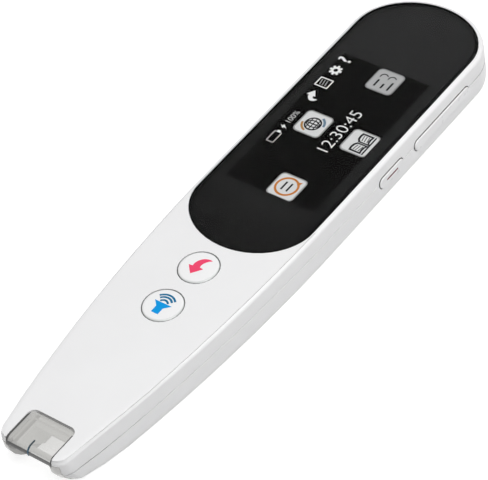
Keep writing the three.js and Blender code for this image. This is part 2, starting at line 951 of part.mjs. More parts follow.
// Screen module: its frame, and the thin foot that its flexible circuit is bonded to
function displayPanel() {
  const shape = roundedRectangle(displayWidth, displayLength - displayFootLength, displayCornerRadius);
  const middle = displayMiddle + displayFootLength / 2;
  const panel = plate(shape, 0, middle, displayUnder, glassUnder);
  const foot = block(
    displayCornerRadius - displayWidth / 2,
    displayWidth / 2 - displayCornerRadius,
    displayMiddle - displayLength / 2,
    displayMiddle - displayLength / 2 + displayFootLength + displayFrame,
    glassUnder - displayFootThickness,
    glassUnder
  );
  return panel.add(foot);
}

// A flat flexible strip: its side view is a line of points in Y and Z, and it has one thickness
function strip(points, width, x) {
  const shape = new THREE.Shape();
  const under = points.map(([y, z]) => new THREE.Vector2(y, z));
  const over = points.map(([y, z]) => new THREE.Vector2(y, z + flexThickness)).reverse();
  shape.setFromPoints([...under, ...over]);
  const geometry = new THREE.ExtrudeGeometry(shape, { depth: width, bevelEnabled: false });
  const turn = new THREE.Matrix4().makeBasis(
    new THREE.Vector3(0, 1, 0),
    new THREE.Vector3(0, 0, 1),
    new THREE.Vector3(1, 0, 0)
  );
  return solid(geometry.applyMatrix4(turn).translate(x - width / 2, 0, 0));
}

const bossInnerX = screwX - bossRadius;
const displayFlexOffset = bossInnerX - displayFlexBossGap - displayFlexWidth / 2;
const innermostBossX = Math.min(screwX, chargeScrewX) - bossRadius;
const linkFlexOffset = linkFlexBossGap + linkFlexWidth / 2 - innermostBossX;
const leadOffset = screwX - screwHeadRadius - plugScrewGap - plugWidth / 2;
const connectorY = mainBoardY1 - displayFlexLanding;
const connectorTop = boardTop + connectorHeight;

function displayFlex() {
  const footUnder = glassUnder - displayFootThickness - flexThickness;
  const bond = displayMiddle - displayLength / 2;
  const slope = (bond - connectorY) / 4;
  const points = [
    [connectorY - connectorLength / 2, connectorTop],
    [connectorY + slope, connectorTop],
    [bond - displayFlexSlot / 2, (footUnder + deckUnder) / 2 - deckThickness],
    [bond, footUnder],
    [bond + displayFootLength, footUnder],
  ];
  return strip(points, displayFlexWidth, displayFlexOffset);
}

function displayConnector() {
  const half = displayFlexWidth / 2 + connectorMargin;
  return block(
    displayFlexOffset - half,
    displayFlexOffset + half,
    connectorY - connectorLength / 2,
    connectorY + connectorLength / 2,
    boardTop,
    connectorTop
  );
}

// Face button: stem, flange and domed cap turned about one axis, standing on its own origin
const buttonCapFoot = deckTop - buttonFlangeClearance;
const buttonFlangeFoot = buttonCapFoot - buttonFlangeThickness;
const faceSwitchTop = boardTop + faceSwitchHeight;
const buttonStemFoot = faceSwitchTop + pressGap;

function faceButton() {
  const shoulderHeight = caseThickness - buttonEdgeRadius;
  const profile = [
    [0, buttonStemFoot],
    [buttonStemRadius, buttonStemFoot],
    [buttonStemRadius, buttonFlangeFoot],
    [buttonFlangeRadius, buttonFlangeFoot],
    [buttonFlangeRadius, buttonCapFoot],
    [buttonCapRadius, buttonCapFoot],
  ];
  for (let step = 0; step <= filletSteps; step++) {
    const turn = (step / filletSteps) * (Math.PI / 2);
    profile.push([
      buttonCapRadius - buttonEdgeRadius * (1 - Math.cos(turn)),
      shoulderHeight + buttonEdgeRadius * Math.sin(turn),
    ]);
  }
  const crown = buttonCapRadius - buttonEdgeRadius;
  for (let step = 1; step <= filletSteps; step++) {
    const radius = crown * (1 - step / filletSteps);
    profile.push([radius, caseThickness + buttonDome * (1 - (radius / crown) ** 2)]);
  }
  return turned(profile);
}

// Tact switch: a square body with a round plunger, standing on its own origin and pressed along Z
function tactSwitch(width, length, height) {
  const plungerHeight = height / 4;
  const plungerRadius = Math.min(width, length) / 4;
  const body = block(-width / 2, width / 2, -length / 2, length / 2, 0, height - plungerHeight);
  const plunger = post(0, 0, plungerRadius, height - 2 * plungerHeight, height);
  return body.add(plunger);
}

// A board that follows the case's outline between two places along the pen
function shapedBoard(y0, y1, bottom, holes) {
  let body = caseForm({ inset: boardInset, bottom, top: bottom + boardThickness }).intersect(
    block(-halfWidth, halfWidth, y0, y1, bottom - overrun, bottom + boardThickness + overrun)
  );
  for (const { x, y } of holes) {
    const hole = post(x, y, screwHoleRadius, bottom - overrun, bottom + boardThickness + overrun);
    body = body.subtract(hole);
  }
  return body.subtract(sideBoardRoom);
}

// Pan head screw driven upwards, standing on the board's underside
function screw() {
  return turned(
    [
      [0, -screwHeadHeight],
      [screwHeadRadius - screwHeadHeight / 2, -screwHeadHeight],
      [screwHeadRadius, -screwHeadHeight / 2],
      [screwHeadRadius, 0],
      [screwShankRadius, 0],
      [screwShankRadius, screwLength],
      [0, screwLength + screwShankRadius / 2],
    ],
    smallSides
  );
}

const batteryY0 = mainBoardY1 + batteryBoardGap;
const batteryY1 = speakerY - speakerLength / 2 - batterySpeakerGap;
const batteryLength = batteryY1 - batteryY0;
const batteryMiddle = (batteryY0 + batteryY1) / 2;

// Side keys: each cap fills its slot in the wall, less a gap all round
const keyOuterX = halfWidth + keyProud;
const rockerInnerX = keyOuterX - rockerThickness;
const rockerPinX = halfWidth - rockerPinDepth;
const batteryWidth = 2 * (sideBoardX - batterySideGap);
const sideBoardY0 = powerY - powerSlotLength / 2 - sideBoardMargin;
const sideBoardY1 = rockerY + rockerSlotLength / 2 + sideBoardMargin;
const sideBoardTop = floorTop + sideBoardHeight;
const sideBoardRoom = block(
  sideBoardX - boardNotchGap,
  halfWidth,
  sideBoardY0 - boardNotchGap,
  sideBoardY1 + boardNotchGap,
  floorTop,
  caseThickness
);

function powerKey() {
  const cap = roundedRectangle(
    powerSlotLength - 2 * keyGap,
    keySlotHeight - 2 * keyGap,
    powerSlotCorner - keyGap
  );
  const flange = roundedRectangle(
    powerSlotLength + 2 * keyFlangeMargin,
    keySlotHeight + keyFlangeMargin,
    powerSlotCorner
  );
  return slabAlongX(cap, powerY, keyMiddle, keyFlangeX0, keyOuterX, keyEdge).add(
    slabAlongX(flange, powerY, keyMiddle, keyFlangeX0, keyFlangeX1)
  );
}

// Rocker: a long cap, a lug on the pin in its middle, and a post over each switch
function volumeRocker() {
  const height = keySlotHeight - 2 * keyGap;
  const cap = roundedRectangle(rockerSlotLength - 2 * keyGap, height, rockerSlotCorner - keyGap);
  let body = slabAlongX(cap, rockerY, keyMiddle, rockerInnerX, keyOuterX, keyEdge);
  const lug = block(
    rockerPinX - rockerLugWidth / 2,
    rockerInnerX + keyEdge * 2,
    rockerY - rockerLugWidth / 2,
    rockerY + rockerLugWidth / 2,
    keyMiddle - height / 2 + keyEdge,
    keyMiddle + height / 2 - keyEdge
  );
  body = body.add(lug);
  for (const side of [-1, 1]) {
    const y = rockerY + side * rockerPostReach;
    body = body.add(
      block(
        plungerTipX + rockerPostGap,
        rockerInnerX + keyEdge * 2,
        y - rockerPostWidth / 2,
        y + rockerPostWidth / 2,
        keyMiddle - rockerPostWidth / 2,
        keyMiddle + rockerPostWidth / 2
      )
    );
  }
  const bore = rockerPinRadius + rockerPinClearance;
  return body.subtract(post(rockerPinX, rockerY, bore, 0, caseThickness));
}

const rockerPinZ0 = keySlotBottom - rockerBossGap - rockerPinSocket;
const rockerPinZ1 = keySlotBottom + keySlotHeight + rockerBossGap + rockerPinSocket;

function rockerPinSockets() {
  const radius = rockerPinRadius + rockerPinClearance / 2;
  const clearance = rockerPinClearance / 2;
  return post(rockerPinX, rockerY, radius, rockerPinZ0 - clearance, rockerPinZ1 + clearance);
}

// Nose tip: a window pane rolled down at the front, joined by two cheeks to rounded feet
const lugFront = armEndY - lugLength;

function noseTip() {
  const envelope = caseForm({ low: bottomFillet, high: topFillet, proud: tipProud });
  const skirtFoot = footTop - footLift;
  const window = windowPlate(0, windowBackGap, skirtFoot, caseThickness + overrun);
  const feet = block(
    -footOuter,
    footOuter,
    noseFront - tipProud - overrun,
    noseFront + footLength,
    footLift,
    footTop
  );
  const hollow = caseForm({
    inset: paneThickness,
    bottom: -overrun,
    top: caseThickness - paneThickness,
    high: topFillet - paneThickness,
    proud: tipProud,
  }).intersect(
    block(
      windowSkirt - windowHalfWidth,
      windowHalfWidth - windowSkirt,
      noseFront - overrun,
      windowBack - windowBackGap - windowSkirt,
      -overrun,
      caseThickness
    )
  );
  const mouth = block(
    -cheekInner,
    cheekInner,
    noseFront - tipProud - overrun,
    noseFront + footLength + overrun,
    -overrun,
    footTop
  );
  let body = envelope.intersect(window.add(feet)).subtract(hollow).subtract(mouth);
  for (const side of [-1, 1]) {
    const inner = side * armInner;
    const outer = side * footOuter;
    const lugOuter = side * (footOuter + lugReach);
    const arm = block(
      Math.min(inner, outer),
      Math.max(inner, outer),
      noseFront + footLength - overrun,
      armEndY,
      armBottom,
      armBottom + armHeight
    );
    const lug = block(
      Math.min(inner, lugOuter),
      Math.max(inner, lugOuter),
      lugFront,
      armEndY,
      armBottom,
      armBottom + armHeight
    );
    body = body.add(arm).add(lug);
  }
  return body;
}

// Scan chamber: a light-proof box between the mouth and the lens, with windows for two lamps
const ledPlaces = [
  { name: "scan_led_left", x: -ledOffset },
  { name: "scan_led_right", x: ledOffset },
];

// Hood: the chamber's roof and thin side walls carried on under the window, with an opening in the
// roof through which the user sees the line of print. Its underside slopes up towards the nose.
function chamberHood() {
  const roofTop = footTop - footLift - hoodTipGap;
  const noseEnd = noseFront + hoodNoseEnd;
  const side = new THREE.Shape([
    new THREE.Vector2(noseEnd, roofTop),
    new THREE.Vector2(noseEnd, roofTop - hoodRoof),
    new THREE.Vector2(noseFront + hoodSlopeFoot, hoodLowEdge),
    new THREE.Vector2(chamberY0, hoodLowEdge),
    new THREE.Vector2(chamberY0, roofTop),
  ]);
  const inner = chamberHalfWidth - hoodWall;
  const tunnel = block(
    -inner,
    inner,
    noseEnd - overrun,
    chamberY0 + overrun,
    -overrun,
    roofTop - hoodRoof
  );
  const view = block(
    -inner,
    inner,
    noseFront + hoodViewNoseEnd,
    noseFront + hoodViewHeadEnd,
    -overrun,
    caseThickness
  );
  return slabAlongX(side, 0, 0, -chamberHalfWidth, chamberHalfWidth).subtract(tunnel).subtract(view);
}

function scanChamber() {
  let body = block(-chamberHalfWidth, chamberHalfWidth, chamberY0, chamberY1, floorTop, deckUnder);
  const inner = chamberHalfWidth - chamberWall;
  body = body.subtract(
    block(
      -inner,
      inner,
      chamberY0 - overrun,
      chamberY1 - chamberWall,
      floorTop + chamberWall,
      deckUnder - chamberWall
    )
  );
  const lensHole = barrelRadius + barrelClearance;
  body = body.subtract(
    rodAlongY(0, opticalHeight, lensHole, chamberY1 - chamberWall - overrun, chamberY1 + overrun)
  );
  for (const { x } of ledPlaces) {
    body = body.subtract(
      block(
        x - ledWidth / 2 - ledClearance,
        x + ledWidth / 2 + ledClearance,
        chamberY1 - chamberWall - overrun,
        chamberY1 + overrun,
        opticalHeight - ledHeight / 2 - ledClearance,
        opticalHeight + ledHeight / 2 + ledClearance
      )
    );
  }
  return body.add(chamberHood());
}

const barrelY0 = chamberY1 - barrelProud;

function ledBoard() {
  return block(
    -chamberHalfWidth,
    chamberHalfWidth,
    chamberY1,
    ledBoardY1,
    opticalHeight - ledBoardHeight / 2,
    opticalHeight + ledBoardHeight / 2
  ).subtract(
    rodAlongY(
      0,
      opticalHeight,
      barrelRadius + barrelClearance,
      chamberY1 - overrun,
      ledBoardY1 + overrun
    )
  );
}

function cameraHolder() {
  const inner = holderHalfHeight - holderWall;
  return block(
    -holderHalfWidth,
    holderHalfWidth,
    holderY0,
    holderY1,
    opticalHeight - holderHalfHeight,
    opticalHeight + holderHalfHeight
  )
    .subtract(
      block(
        holderWall - holderHalfWidth,
        holderHalfWidth - holderWall,
        holderY0 + 2 * holderWall,
        holderY1 + overrun,
        opticalHeight - inner - holderWall / 2,
        opticalHeight + inner + holderWall / 2
      )
    )
    .subtract(
      rodAlongY(0, opticalHeight, barrelRadius + barrelClearance, holderY0 - overrun, holderY1)
    );
}

function lensBarrel() {
  return rodAlongY(0, opticalHeight, barrelRadius, barrelY0, barrelY0 + barrelLength).subtract(
    rodAlongY(0, opticalHeight, barrelBore, barrelY0 - overrun, barrelY0 + barrelLength + overrun)
  );
}

// Lens: two shallow domes on a rim, along its own axis
function cameraLens() {
  const rim = lensThickness / 4;
  const profile = [];
  for (let step = 0; step <= filletSteps; step++) {
    const radius = lensRadius * (step / filletSteps);
    profile.push([radius, -rim - (lensThickness / 2 - rim) * (1 - (radius / lensRadius) ** 2)]);
  }
  const back = profile.map(([radius, height]) => [radius, -height]).reverse();
  return turned([...profile, ...back], lensSides);
}

// Compression spring: round wire wound along Y, standing on its own origin
class Coil extends THREE.Curve {
  constructor(radius, length, turns) {
    super();
    this.radius = radius;
    this.length = length;
    this.turns = turns;
  }
  getPoint(share, target = new THREE.Vector3()) {
    const turn = 2 * Math.PI * this.turns * share;
    return target.set(
      this.radius * Math.cos(turn),
      this.length * share,
      this.radius * Math.sin(turn)
    );
  }
}

function tipSpring(length) {
  const section = new THREE.Shape();
  section.absarc(0, 0, springWire, 0, 2 * Math.PI, false);
  const geometry = new THREE.ExtrudeGeometry(section, {
    steps: springTurns * springTurnSteps,
    curveSegments: springWireSteps,
    extrudePath: new Coil(springRadius, length, springTurns),
  });
  return solid(geometry);
}

// Charging socket: a steel shell with rounded ends round a contact tongue
const socketMiddle = chargeBoardHeight - socketHeight / 2;
const socketY1 = headEnd - socketSet;
const socketY0 = socketY1 - socketLength;

function chargeSocket() {
  const outer = roundedRectangle(socketWidth, socketHeight, socketHeight / 2);
  const inner = roundedRectangle(
    socketWidth - 2 * socketWall,
    socketHeight - 2 * socketWall,
    socketHeight / 2 - socketWall
  );
  const tongue = block(
    -socketTongueWidth / 2,
    socketTongueWidth / 2,
    socketY0 + socketWall / 2,
    socketY0 + socketWall + socketTongueLength,
    socketMiddle - socketTongueThickness / 2,
    socketMiddle + socketTongueThickness / 2
  );
  return slabAlongY(outer, 0, socketMiddle, socketY0, socketY1)
    .subtract(slabAlongY(inner, 0, socketMiddle, socketY0 + 2 * socketWall, socketY1 + overrun))
    .add(tongue);
}

const speakerWidth = 2 * (chargeScrewX - screwHeadRadius - speakerScrewGap);
const speakerUnder = floorTop + gasketThickness;
const speakerTop = speakerUnder + speakerHeight;

function speakerOutline(margin) {
  return roundedRectangle(
    speakerWidth - 2 * margin,
    speakerLength - 2 * margin,
    Math.min(speakerLength, speakerWidth) / 2 - margin - overrun / 2
  );
}

function loudspeaker() {
  const frame = plate(speakerOutline(0), 0, speakerY, speakerUnder, speakerTop);
  const hollow = plate(
    speakerOutline(speakerRim),
    0,
    speakerY,
    speakerUnder - overrun,
    speakerUnder + speakerRecess
  );
  return frame.subtract(hollow);
}

function speakerGasket() {
  return plate(speakerOutline(0), 0, speakerY, floorTop, speakerUnder).subtract(
    plate(speakerOutline(gasketWidth), 0, speakerY, 0, speakerTop)
  );
}

// Link between the charging board and the main board, laid over the battery
function linkFlex() {
  const rise = chargeBoardTop - boardTop;
  const points = [
    [mainBoardY1 - linkFlexLanding, boardTop],
    [chargeBoardY0 - 2 * rise, boardTop],
    [chargeBoardY0 - rise / 2, chargeBoardTop],
    [chargeBoardY0 + linkFlexLanding, chargeBoardTop],
  ];
  return strip(points, linkFlexWidth, linkFlexOffset);
}

addPiece("upper_housing", upperHousing(), whitePlastic);
addPiece("lower_housing", lowerHousing(), whitePlastic);
addPiece("front_panel", frontPanel(), whitePlastic);
addPiece("cover_glass", coverGlass(), blackGlass);
addPiece("glass_adhesive", glassAdhesive(), clearAdhesive);
addPiece("display_panel", displayPanel(), screenBlack);
addPiece("display_flex", displayFlex(), polyimide);
addPiece("display_connector", displayConnector(), blackPlastic);

addPiece("speak_button", faceButton(), whitePlastic, [0, speakButtonY, 0]);
addPiece("back_button", faceButton(), whitePlastic, [0, backButtonY, 0]);
const faceSwitch = tactSwitch(faceSwitchWidth, faceSwitchWidth, faceSwitchHeight);
addPiece("speak_switch", faceSwitch, steel, [0, speakButtonY, boardTop]);
addPiece("back_switch", faceSwitch, steel, [0, backButtonY, boardTop]);

addPiece(
  "main_board",
  shapedBoard(mainBoardY0, mainBoardY1, mainBoardHeight, screwPlaces),
  circuitBoard
);
const shieldY = mainBoardY0 + shieldPlace;
const shieldShape = roundedRectangle(shieldWidth, shieldLength, displayCornerRadius);
addPiece(
  "processor_shield",
  plate(shieldShape, 0, shieldY, mainBoardHeight - shieldHeight, mainBoardHeight),
  steel
);
const memoryY = mainBoardY0 + memoryPlace;
addPiece(
  "memory_chip",
  block(
    -memoryWidth / 2,
    memoryWidth / 2,
    memoryY - memoryLength / 2,
    memoryY + memoryLength / 2,
    mainBoardHeight - memoryHeight,
    mainBoardHeight
  ),
  chipPlastic
);
screwPlaces.forEach(({ x, y }, i) => {
  addPiece(`board_screw_${i + 1}`, screw(), brightSteel, [x, y, mainBoardHeight]);
});

const batteryShape = roundedRectangle(batteryWidth, batteryLength, batteryCornerRadius);
addPiece(
  "battery",
  plate(batteryShape, 0, batteryMiddle, floorTop, floorTop + batteryThickness, batteryEdge),
  pouchFoil
);
const plugY1 = mainBoardY1 - connectorMargin;
addPiece(
  "battery_plug",
  block(
    leadOffset - plugWidth / 2,
    leadOffset + plugWidth / 2,
    plugY1 - plugLength,
    plugY1,
    mainBoardHeight - plugHeight,
    mainBoardHeight
  ),
  blackPlastic
);
const leadZ1 = mainBoardHeight - (plugHeight - leadThickness) / 2;
addPiece(
  "battery_lead",
  block(
    leadOffset - leadWidth / 2,
    leadOffset + leadWidth / 2,
    plugY1,
    batteryY0,
    leadZ1 - leadThickness,
    leadZ1
  ),
  foam
);

addPiece("power_key", powerKey(), whitePlastic);
addPiece("volume_rocker", volumeRocker(), whitePlastic);
addPiece(
  "rocker_pin",
  post(rockerPinX, rockerY, rockerPinRadius, rockerPinZ0, rockerPinZ1),
  brightSteel
);
addPiece(
  "side_key_board",
  block(
    sideBoardX,
    sideBoardX + sideBoardThickness,
    sideBoardY0,
    sideBoardY1,
    floorTop,
    sideBoardTop
  ),
  circuitBoard
);
const sideSwitch = tactSwitch(sideSwitchWidth, sideSwitchWidth, sideSwitchHeight);
const sideSwitchPlaces = [
  { name: "power_switch", y: powerY },
  { name: "volume_down_switch", y: rockerY - rockerPostReach },
  { name: "volume_up_switch", y: rockerY + rockerPostReach },
];
for (const { name, y } of sideSwitchPlaces) {
  const place = [sideBoardX + sideBoardThickness, y, keyMiddle];
  addPiece(name, sideSwitch, steel, place).rotation.y = Math.PI / 2;
}

addPiece("nose_tip", noseTip(), smokedPlastic);
addPiece("scan_chamber", scanChamber(), greyPlastic);
addPiece("led_board", ledBoard(), circuitBoard);
for (const { name, x } of ledPlaces) {
  addPiece(
    name,
    block(
      x - ledWidth / 2,
      x + ledWidth / 2,
      chamberY1 - ledDepth,
      chamberY1,
      opticalHeight - ledHeight / 2,
      opticalHeight + ledHeight / 2
    ),
    ledPhosphor
  );
}
addPiece("camera_holder", cameraHolder(), blackPlastic);
addPiece("lens_barrel", lensBarrel(), blackPlastic);
addPiece("camera_lens", cameraLens(), lensGlass, [
  0,
  barrelY0 + lensRecess + lensThickness / 2,
  opticalHeight,
]).rotation.x = Math.PI / 2;
addPiece(
  "sensor_board",
  block(
    -sensorBoardHalfWidth,
    sensorBoardHalfWidth,
    holderY1,
    holderY1 + boardThickness,
    floorTop,
    deckUnder - sensorBoardTopGap
  ),
  circuitBoard
);
addPiece(
  "image_sensor",
  block(
    -sensorHalfWidth,
    sensorHalfWidth,
    holderY1 - sensorThickness,
    holderY1,
    opticalHeight - sensorHalfWidth,
    opticalHeight + sensorHalfWidth
  ),
  chipPlastic
);
const armMiddleX = (armInner + footOuter) / 2;
const armMiddleZ = armBottom + armHeight / 2;
const tipSwitch = tactSwitch(tipSwitchWidth, tipSwitchWidth, tipSwitchHeight);
const tipSwitchPlace = [-armMiddleX, holderY1, armMiddleZ];
addPiece("tip_switch", tipSwitch, steel, tipSwitchPlace).rotation.x = Math.PI / 2;
const springLength = holderY1 - (armEndY) - pressGap - 2 * springWire;
addPiece("tip_spring", tipSpring(springLength), brightSteel, [
  armMiddleX,
  armEndY + pressGap + springWire,
  armMiddleZ,
]);

addPiece(
  "charge_board",
  shapedBoard(chargeBoardY0, chargeBoardY1, chargeBoardHeight, chargeScrewPlaces),
  circuitBoard
);
chargeScrewPlaces.forEach(({ x, y }, i) => {
  addPiece(`charge_board_screw_${i + 1}`, screw(), brightSteel, [x, y, chargeBoardHeight]);
});
addPiece("charge_socket", chargeSocket(), brightSteel);
addPiece("link_flex", linkFlex(), polyimide);
addPiece("loudspeaker", loudspeaker(), blackPlastic);
addPiece("speaker_gasket", speakerGasket(), foam);

export default pen;
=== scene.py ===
import math

import bpy
from mathutils import Matrix, Vector
from mathutils.geometry import convex_hull_2d


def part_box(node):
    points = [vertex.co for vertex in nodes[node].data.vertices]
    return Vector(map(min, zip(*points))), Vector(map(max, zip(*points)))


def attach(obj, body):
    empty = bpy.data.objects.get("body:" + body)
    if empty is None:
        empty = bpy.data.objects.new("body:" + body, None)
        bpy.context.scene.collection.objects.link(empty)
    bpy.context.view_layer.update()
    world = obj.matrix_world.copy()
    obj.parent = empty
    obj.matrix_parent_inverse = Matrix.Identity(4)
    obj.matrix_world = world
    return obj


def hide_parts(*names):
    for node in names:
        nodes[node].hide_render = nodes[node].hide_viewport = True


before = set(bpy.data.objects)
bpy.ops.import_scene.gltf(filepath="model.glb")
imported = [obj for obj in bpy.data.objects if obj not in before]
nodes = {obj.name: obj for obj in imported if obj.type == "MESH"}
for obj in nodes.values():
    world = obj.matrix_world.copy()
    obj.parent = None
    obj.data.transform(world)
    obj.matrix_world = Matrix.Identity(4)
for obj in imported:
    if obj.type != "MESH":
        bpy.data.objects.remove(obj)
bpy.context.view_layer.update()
scene = bpy.context.scene
bpy.ops.object.select_all(action="DESELECT")
mm = 0.001

# Camera: it looks down on the pen past the key side of the nose, from half a metre away with a
# long lens, so that the case tapers very little towards the head.
camera_place = Vector((0.28182, -0.28133, 0.39966))
camera_right = Vector((0.7903, 0.5948, -0.1470))
camera_up = Vector((-0.3467, 0.6320, 0.6931))
camera_film_width = 36
camera_lens_length = 183.47
camera_near = 0.01
camera_data = bpy.data.cameras.new("camera")
camera = bpy.data.objects.new("camera", camera_data)
scene.collection.objects.link(camera)
camera_back = camera_right.cross(camera_up).normalized()
camera_up = camera_back.cross(camera_right).normalized()
camera_turn = Matrix((camera_right.normalized(), camera_up, camera_back)).transposed()
camera.matrix_world = Matrix.Translation(camera_place) @ camera_turn.to_4x4()
camera_data.sensor_fit = "HORIZONTAL"
camera_data.sensor_width = camera_film_width
camera_data.lens = camera_lens_length
camera_data.clip_start = camera_near
scene.camera = camera
scene.view_settings.view_transform = "Standard"

# Studio: a wide white sweep under the pen, one large soft box overhead and a second one beyond the
# head on the key side. The sweep shows pure white but still takes the pen's own soft shadow.
sweep_half_width = 2.5
sweep_drop = 0.00002
sweep_tone = 0.5
sweep_lift = 0.75
air_level = 0.3
soft_boxes = {
    "overhead_box": ((0.5, -0.15, 1.25), 0.9, 12.6),
    "head_side_box": ((0.87, 0.5, 0.98), 0.8, 4.2),
}


def grey(level):
    """A plain grey of this level, from black to white."""
    return (level, level, level, 1)


def new_material(name, **sockets):
    """A material with these plain values on its one surface shader."""
    material = bpy.data.materials.new(name)
    material.use_nodes = True
    tree = material.node_tree
    shader = tree.nodes["Principled BSDF"]
    for socket, value in sockets.items():
        shader.inputs[socket.replace("_", " ")].default_value = value
    return material, tree, shader


def joined(tree, how, first, *others):
    """Two or more values as one: the greatest, the product or the difference."""
    for other in others:
        both = tree.nodes.new("ShaderNodeMath")
        both.operation = how
        tree.links.new(first, both.inputs[0])
        tree.links.new(other, both.inputs[1])
        first = both.outputs[0]
    return first


def seen_rays(tree):
    """One for rays from the camera and for those that metal or glass sends on, else nothing."""
    path = tree.nodes.new("ShaderNodeLightPath")
    kinds = ("Is Camera Ray", "Is Glossy Ray", "Is Transmission Ray")
    return joined(tree, "MAXIMUM", *(path.outputs[kind] for kind in kinds))


world = bpy.data.worlds.new("studio_air")
scene.world = world
world.use_nodes = True
air = world.node_tree
air_light = air.nodes["Background"]
air_light.inputs["Color"].default_value = grey(1)
air_light.inputs["Strength"].default_value = air_level
air_white = air.nodes.new("ShaderNodeBackground")
air_white.inputs["Color"].default_value = grey(1)
air_choice = air.nodes.new("ShaderNodeMixShader")
air.links.new(seen_rays(air), air_choice.inputs[0])
air.links.new(air_light.outputs[0], air_choice.inputs[1])
air.links.new(air_white.outputs[0], air_choice.inputs[2])
air.links.new(air_choice.outputs[0], air.nodes["World Output"].inputs["Surface"])

bpy.ops.mesh.primitive_plane_add(size=2 * sweep_half_width, location=(0, 0, -sweep_drop))
sweep = bpy.context.object
sweep.name = "studio_sweep"
sweep_paper, sweep_tree, sweep_shader = new_material(
    "sweep_paper", Base_Color=grey(sweep_tone), Roughness=1, Specular_IOR_Level=0,
    Emission_Color=grey(1),
)
sweep_glow = sweep_tree.nodes.new("ShaderNodeMath")
sweep_glow.operation = "MULTIPLY"
sweep_glow.inputs[1].default_value = sweep_lift
sweep_tree.links.new(seen_rays(sweep_tree), sweep_glow.inputs[0])
sweep_tree.links.new(sweep_glow.outputs[0], sweep_shader.inputs["Emission Strength"])
sweep.data.materials.append(sweep_paper)

for box_name, (place, width, power) in soft_boxes.items():
    lamp_data = bpy.data.lights.new(box_name, "AREA")
    lamp_data.shape = "SQUARE"
    lamp_data.size = width
    lamp_data.energy = power
    lamp = bpy.data.objects.new(box_name, lamp_data)
    scene.collection.objects.link(lamp)
    lamp.location = place
    lamp.rotation_euler = Vector(place).to_track_quat("Z", "Y").to_euler()

# Lower housing: the back shell, one injection moulding in white ABS. Its fine spark-eroded grain
# and the slight unevenness of the white show only from close by. The gap that parts it from the
# upper housing climbs a little behind the nose, and looks darkest at the nose and the head, where
# it opens wider and the shell inside it is painted dark grey as painted shade.
white_shade = (0.80, 0.80, 0.805, 1)
white_light = (0.86, 0.86, 0.865, 1)
shell_roughness = 0.36
gloss_fineness = 6
weld_reach = 0.002 * mm
flat_angle = math.radians(0.5)
eased_angle = math.radians(50)
smooth_angle = math.radians(35)
wall_top = 9.7 * mm
level_slack = 0.02 * mm
shortest_run = 0.001 * mm
seam_under = 6.08 * mm
seam_slack = 0.01 * mm
seam_depth = 0.3 * mm
skin_slack = 0.05 * mm
seam_climb_start = -68 * mm
seam_climb_run = 28 * mm
seam_climb = 0.5 * mm
seam_end_run = 4 * mm
seam_nose_gain = 1.4
seam_head_start = 60 * mm
seam_head_gain = 1.2
# Painted shade inside the parting gap: its dark grey, and how far it reaches at the nose and the
# head.
seam_painted_shade = grey(0.13)
seam_shade_nose = (-40 * mm, -70 * mm)
seam_shade_head = (60 * mm, 68 * mm)
seam_shade_nose_share = 0.6
seam_soft = 0.005 * mm


def moulded_grain_group():
    """Fine relief, broad unevenness and middling gloss variation of a moulded surface."""
    group = bpy.data.node_groups.new("moulded_grain", "ShaderNodeTree")
    for name, kind in (("Fine", "Float"), ("Broad", "Float"), ("Stretch", "Vector")):
        group.interface.new_socket(name, in_out="INPUT", socket_type="NodeSocket" + kind)
    for name in ("Relief", "Tone", "Gloss"):
        group.interface.new_socket(name, in_out="OUTPUT", socket_type="NodeSocketFloat")
    given = group.nodes.new("NodeGroupInput")
    result = group.nodes.new("NodeGroupOutput")
    where = group.nodes.new("ShaderNodeTexCoord")
    stretched = group.nodes.new("ShaderNodeVectorMath")
    stretched.operation = "MULTIPLY"
    group.links.new(where.outputs["Object"], stretched.inputs[0])
    group.links.new(given.outputs["Stretch"], stretched.inputs[1])
    between = group.nodes.new("ShaderNodeMath")
    between.operation = "MULTIPLY"
    between.inputs[1].default_value = gloss_fineness
    group.links.new(given.outputs["Broad"], between.inputs[0])
    for output, size, detail in (
        ("Relief", given.outputs["Fine"], 3),
        ("Tone", given.outputs["Broad"], 4),
        ("Gloss", between.outputs[0], 2),
    ):
        noise = group.nodes.new("ShaderNodeTexNoise")
        noise.inputs["Detail"].default_value = detail
        group.links.new(stretched.outputs[0], noise.inputs["Vector"])
        group.links.new(size, noise.inputs["Scale"])
        group.links.new(noise.outputs["Fac"], result.inputs[output])
    return group


moulded_grain = moulded_grain_group()


def grain_in(tree, fine, broad, stretch=(1, 1, 1)):
    """Places the grain in a material, with its two sizes and its stretch."""
    grain = tree.nodes.new("ShaderNodeGroup")
    grain.node_tree = moulded_grain
    for name, value in (("Fine", fine), ("Broad", broad), ("Stretch", stretch)):
        grain.inputs[name].default_value = value
    return grain.outputs


def blended(tree, under, over, share):
    """One colour that passes into another by the share. The first is plain or a node's own."""
    mix = tree.nodes.new("ShaderNodeMix")
    mix.data_type = "RGBA"
    if isinstance(under, tuple):
        mix.inputs[6].default_value = under
    else:
        tree.links.new(under, mix.inputs[6])
    mix.inputs[7].default_value = over
    tree.links.new(share, mix.inputs[0])
    return mix.outputs[2]


def grained(
    name, shade, light, roughness,
    spread=0.08, relief=0.004 * mm, fine=5000, broad=60, stretch=(1, 1, 1), **sockets,
):
    """A finish with grain: two close colours, a gloss that varies by spread, and fine relief."""
    material, tree, shader = new_material(name, **sockets)
    grain = grain_in(tree, fine, broad, stretch)
    tree.links.new(blended(tree, shade, light, grain["Tone"]), shader.inputs["Base Color"])
    gloss = tree.nodes.new("ShaderNodeMapRange")
    gloss.inputs["To Min"].default_value = roughness - spread / 2
    gloss.inputs["To Max"].default_value = roughness + spread / 2
    tree.links.new(grain["Gloss"], gloss.inputs["Value"])
    tree.links.new(gloss.outputs["Result"], shader.inputs["Roughness"])
    bump = tree.nodes.new("ShaderNodeBump")
    bump.inputs["Distance"].default_value = relief
    tree.links.new(grain["Relief"], bump.inputs["Height"])
    tree.links.new(bump.outputs["Normal"], shader.inputs["Normal"])
    return material


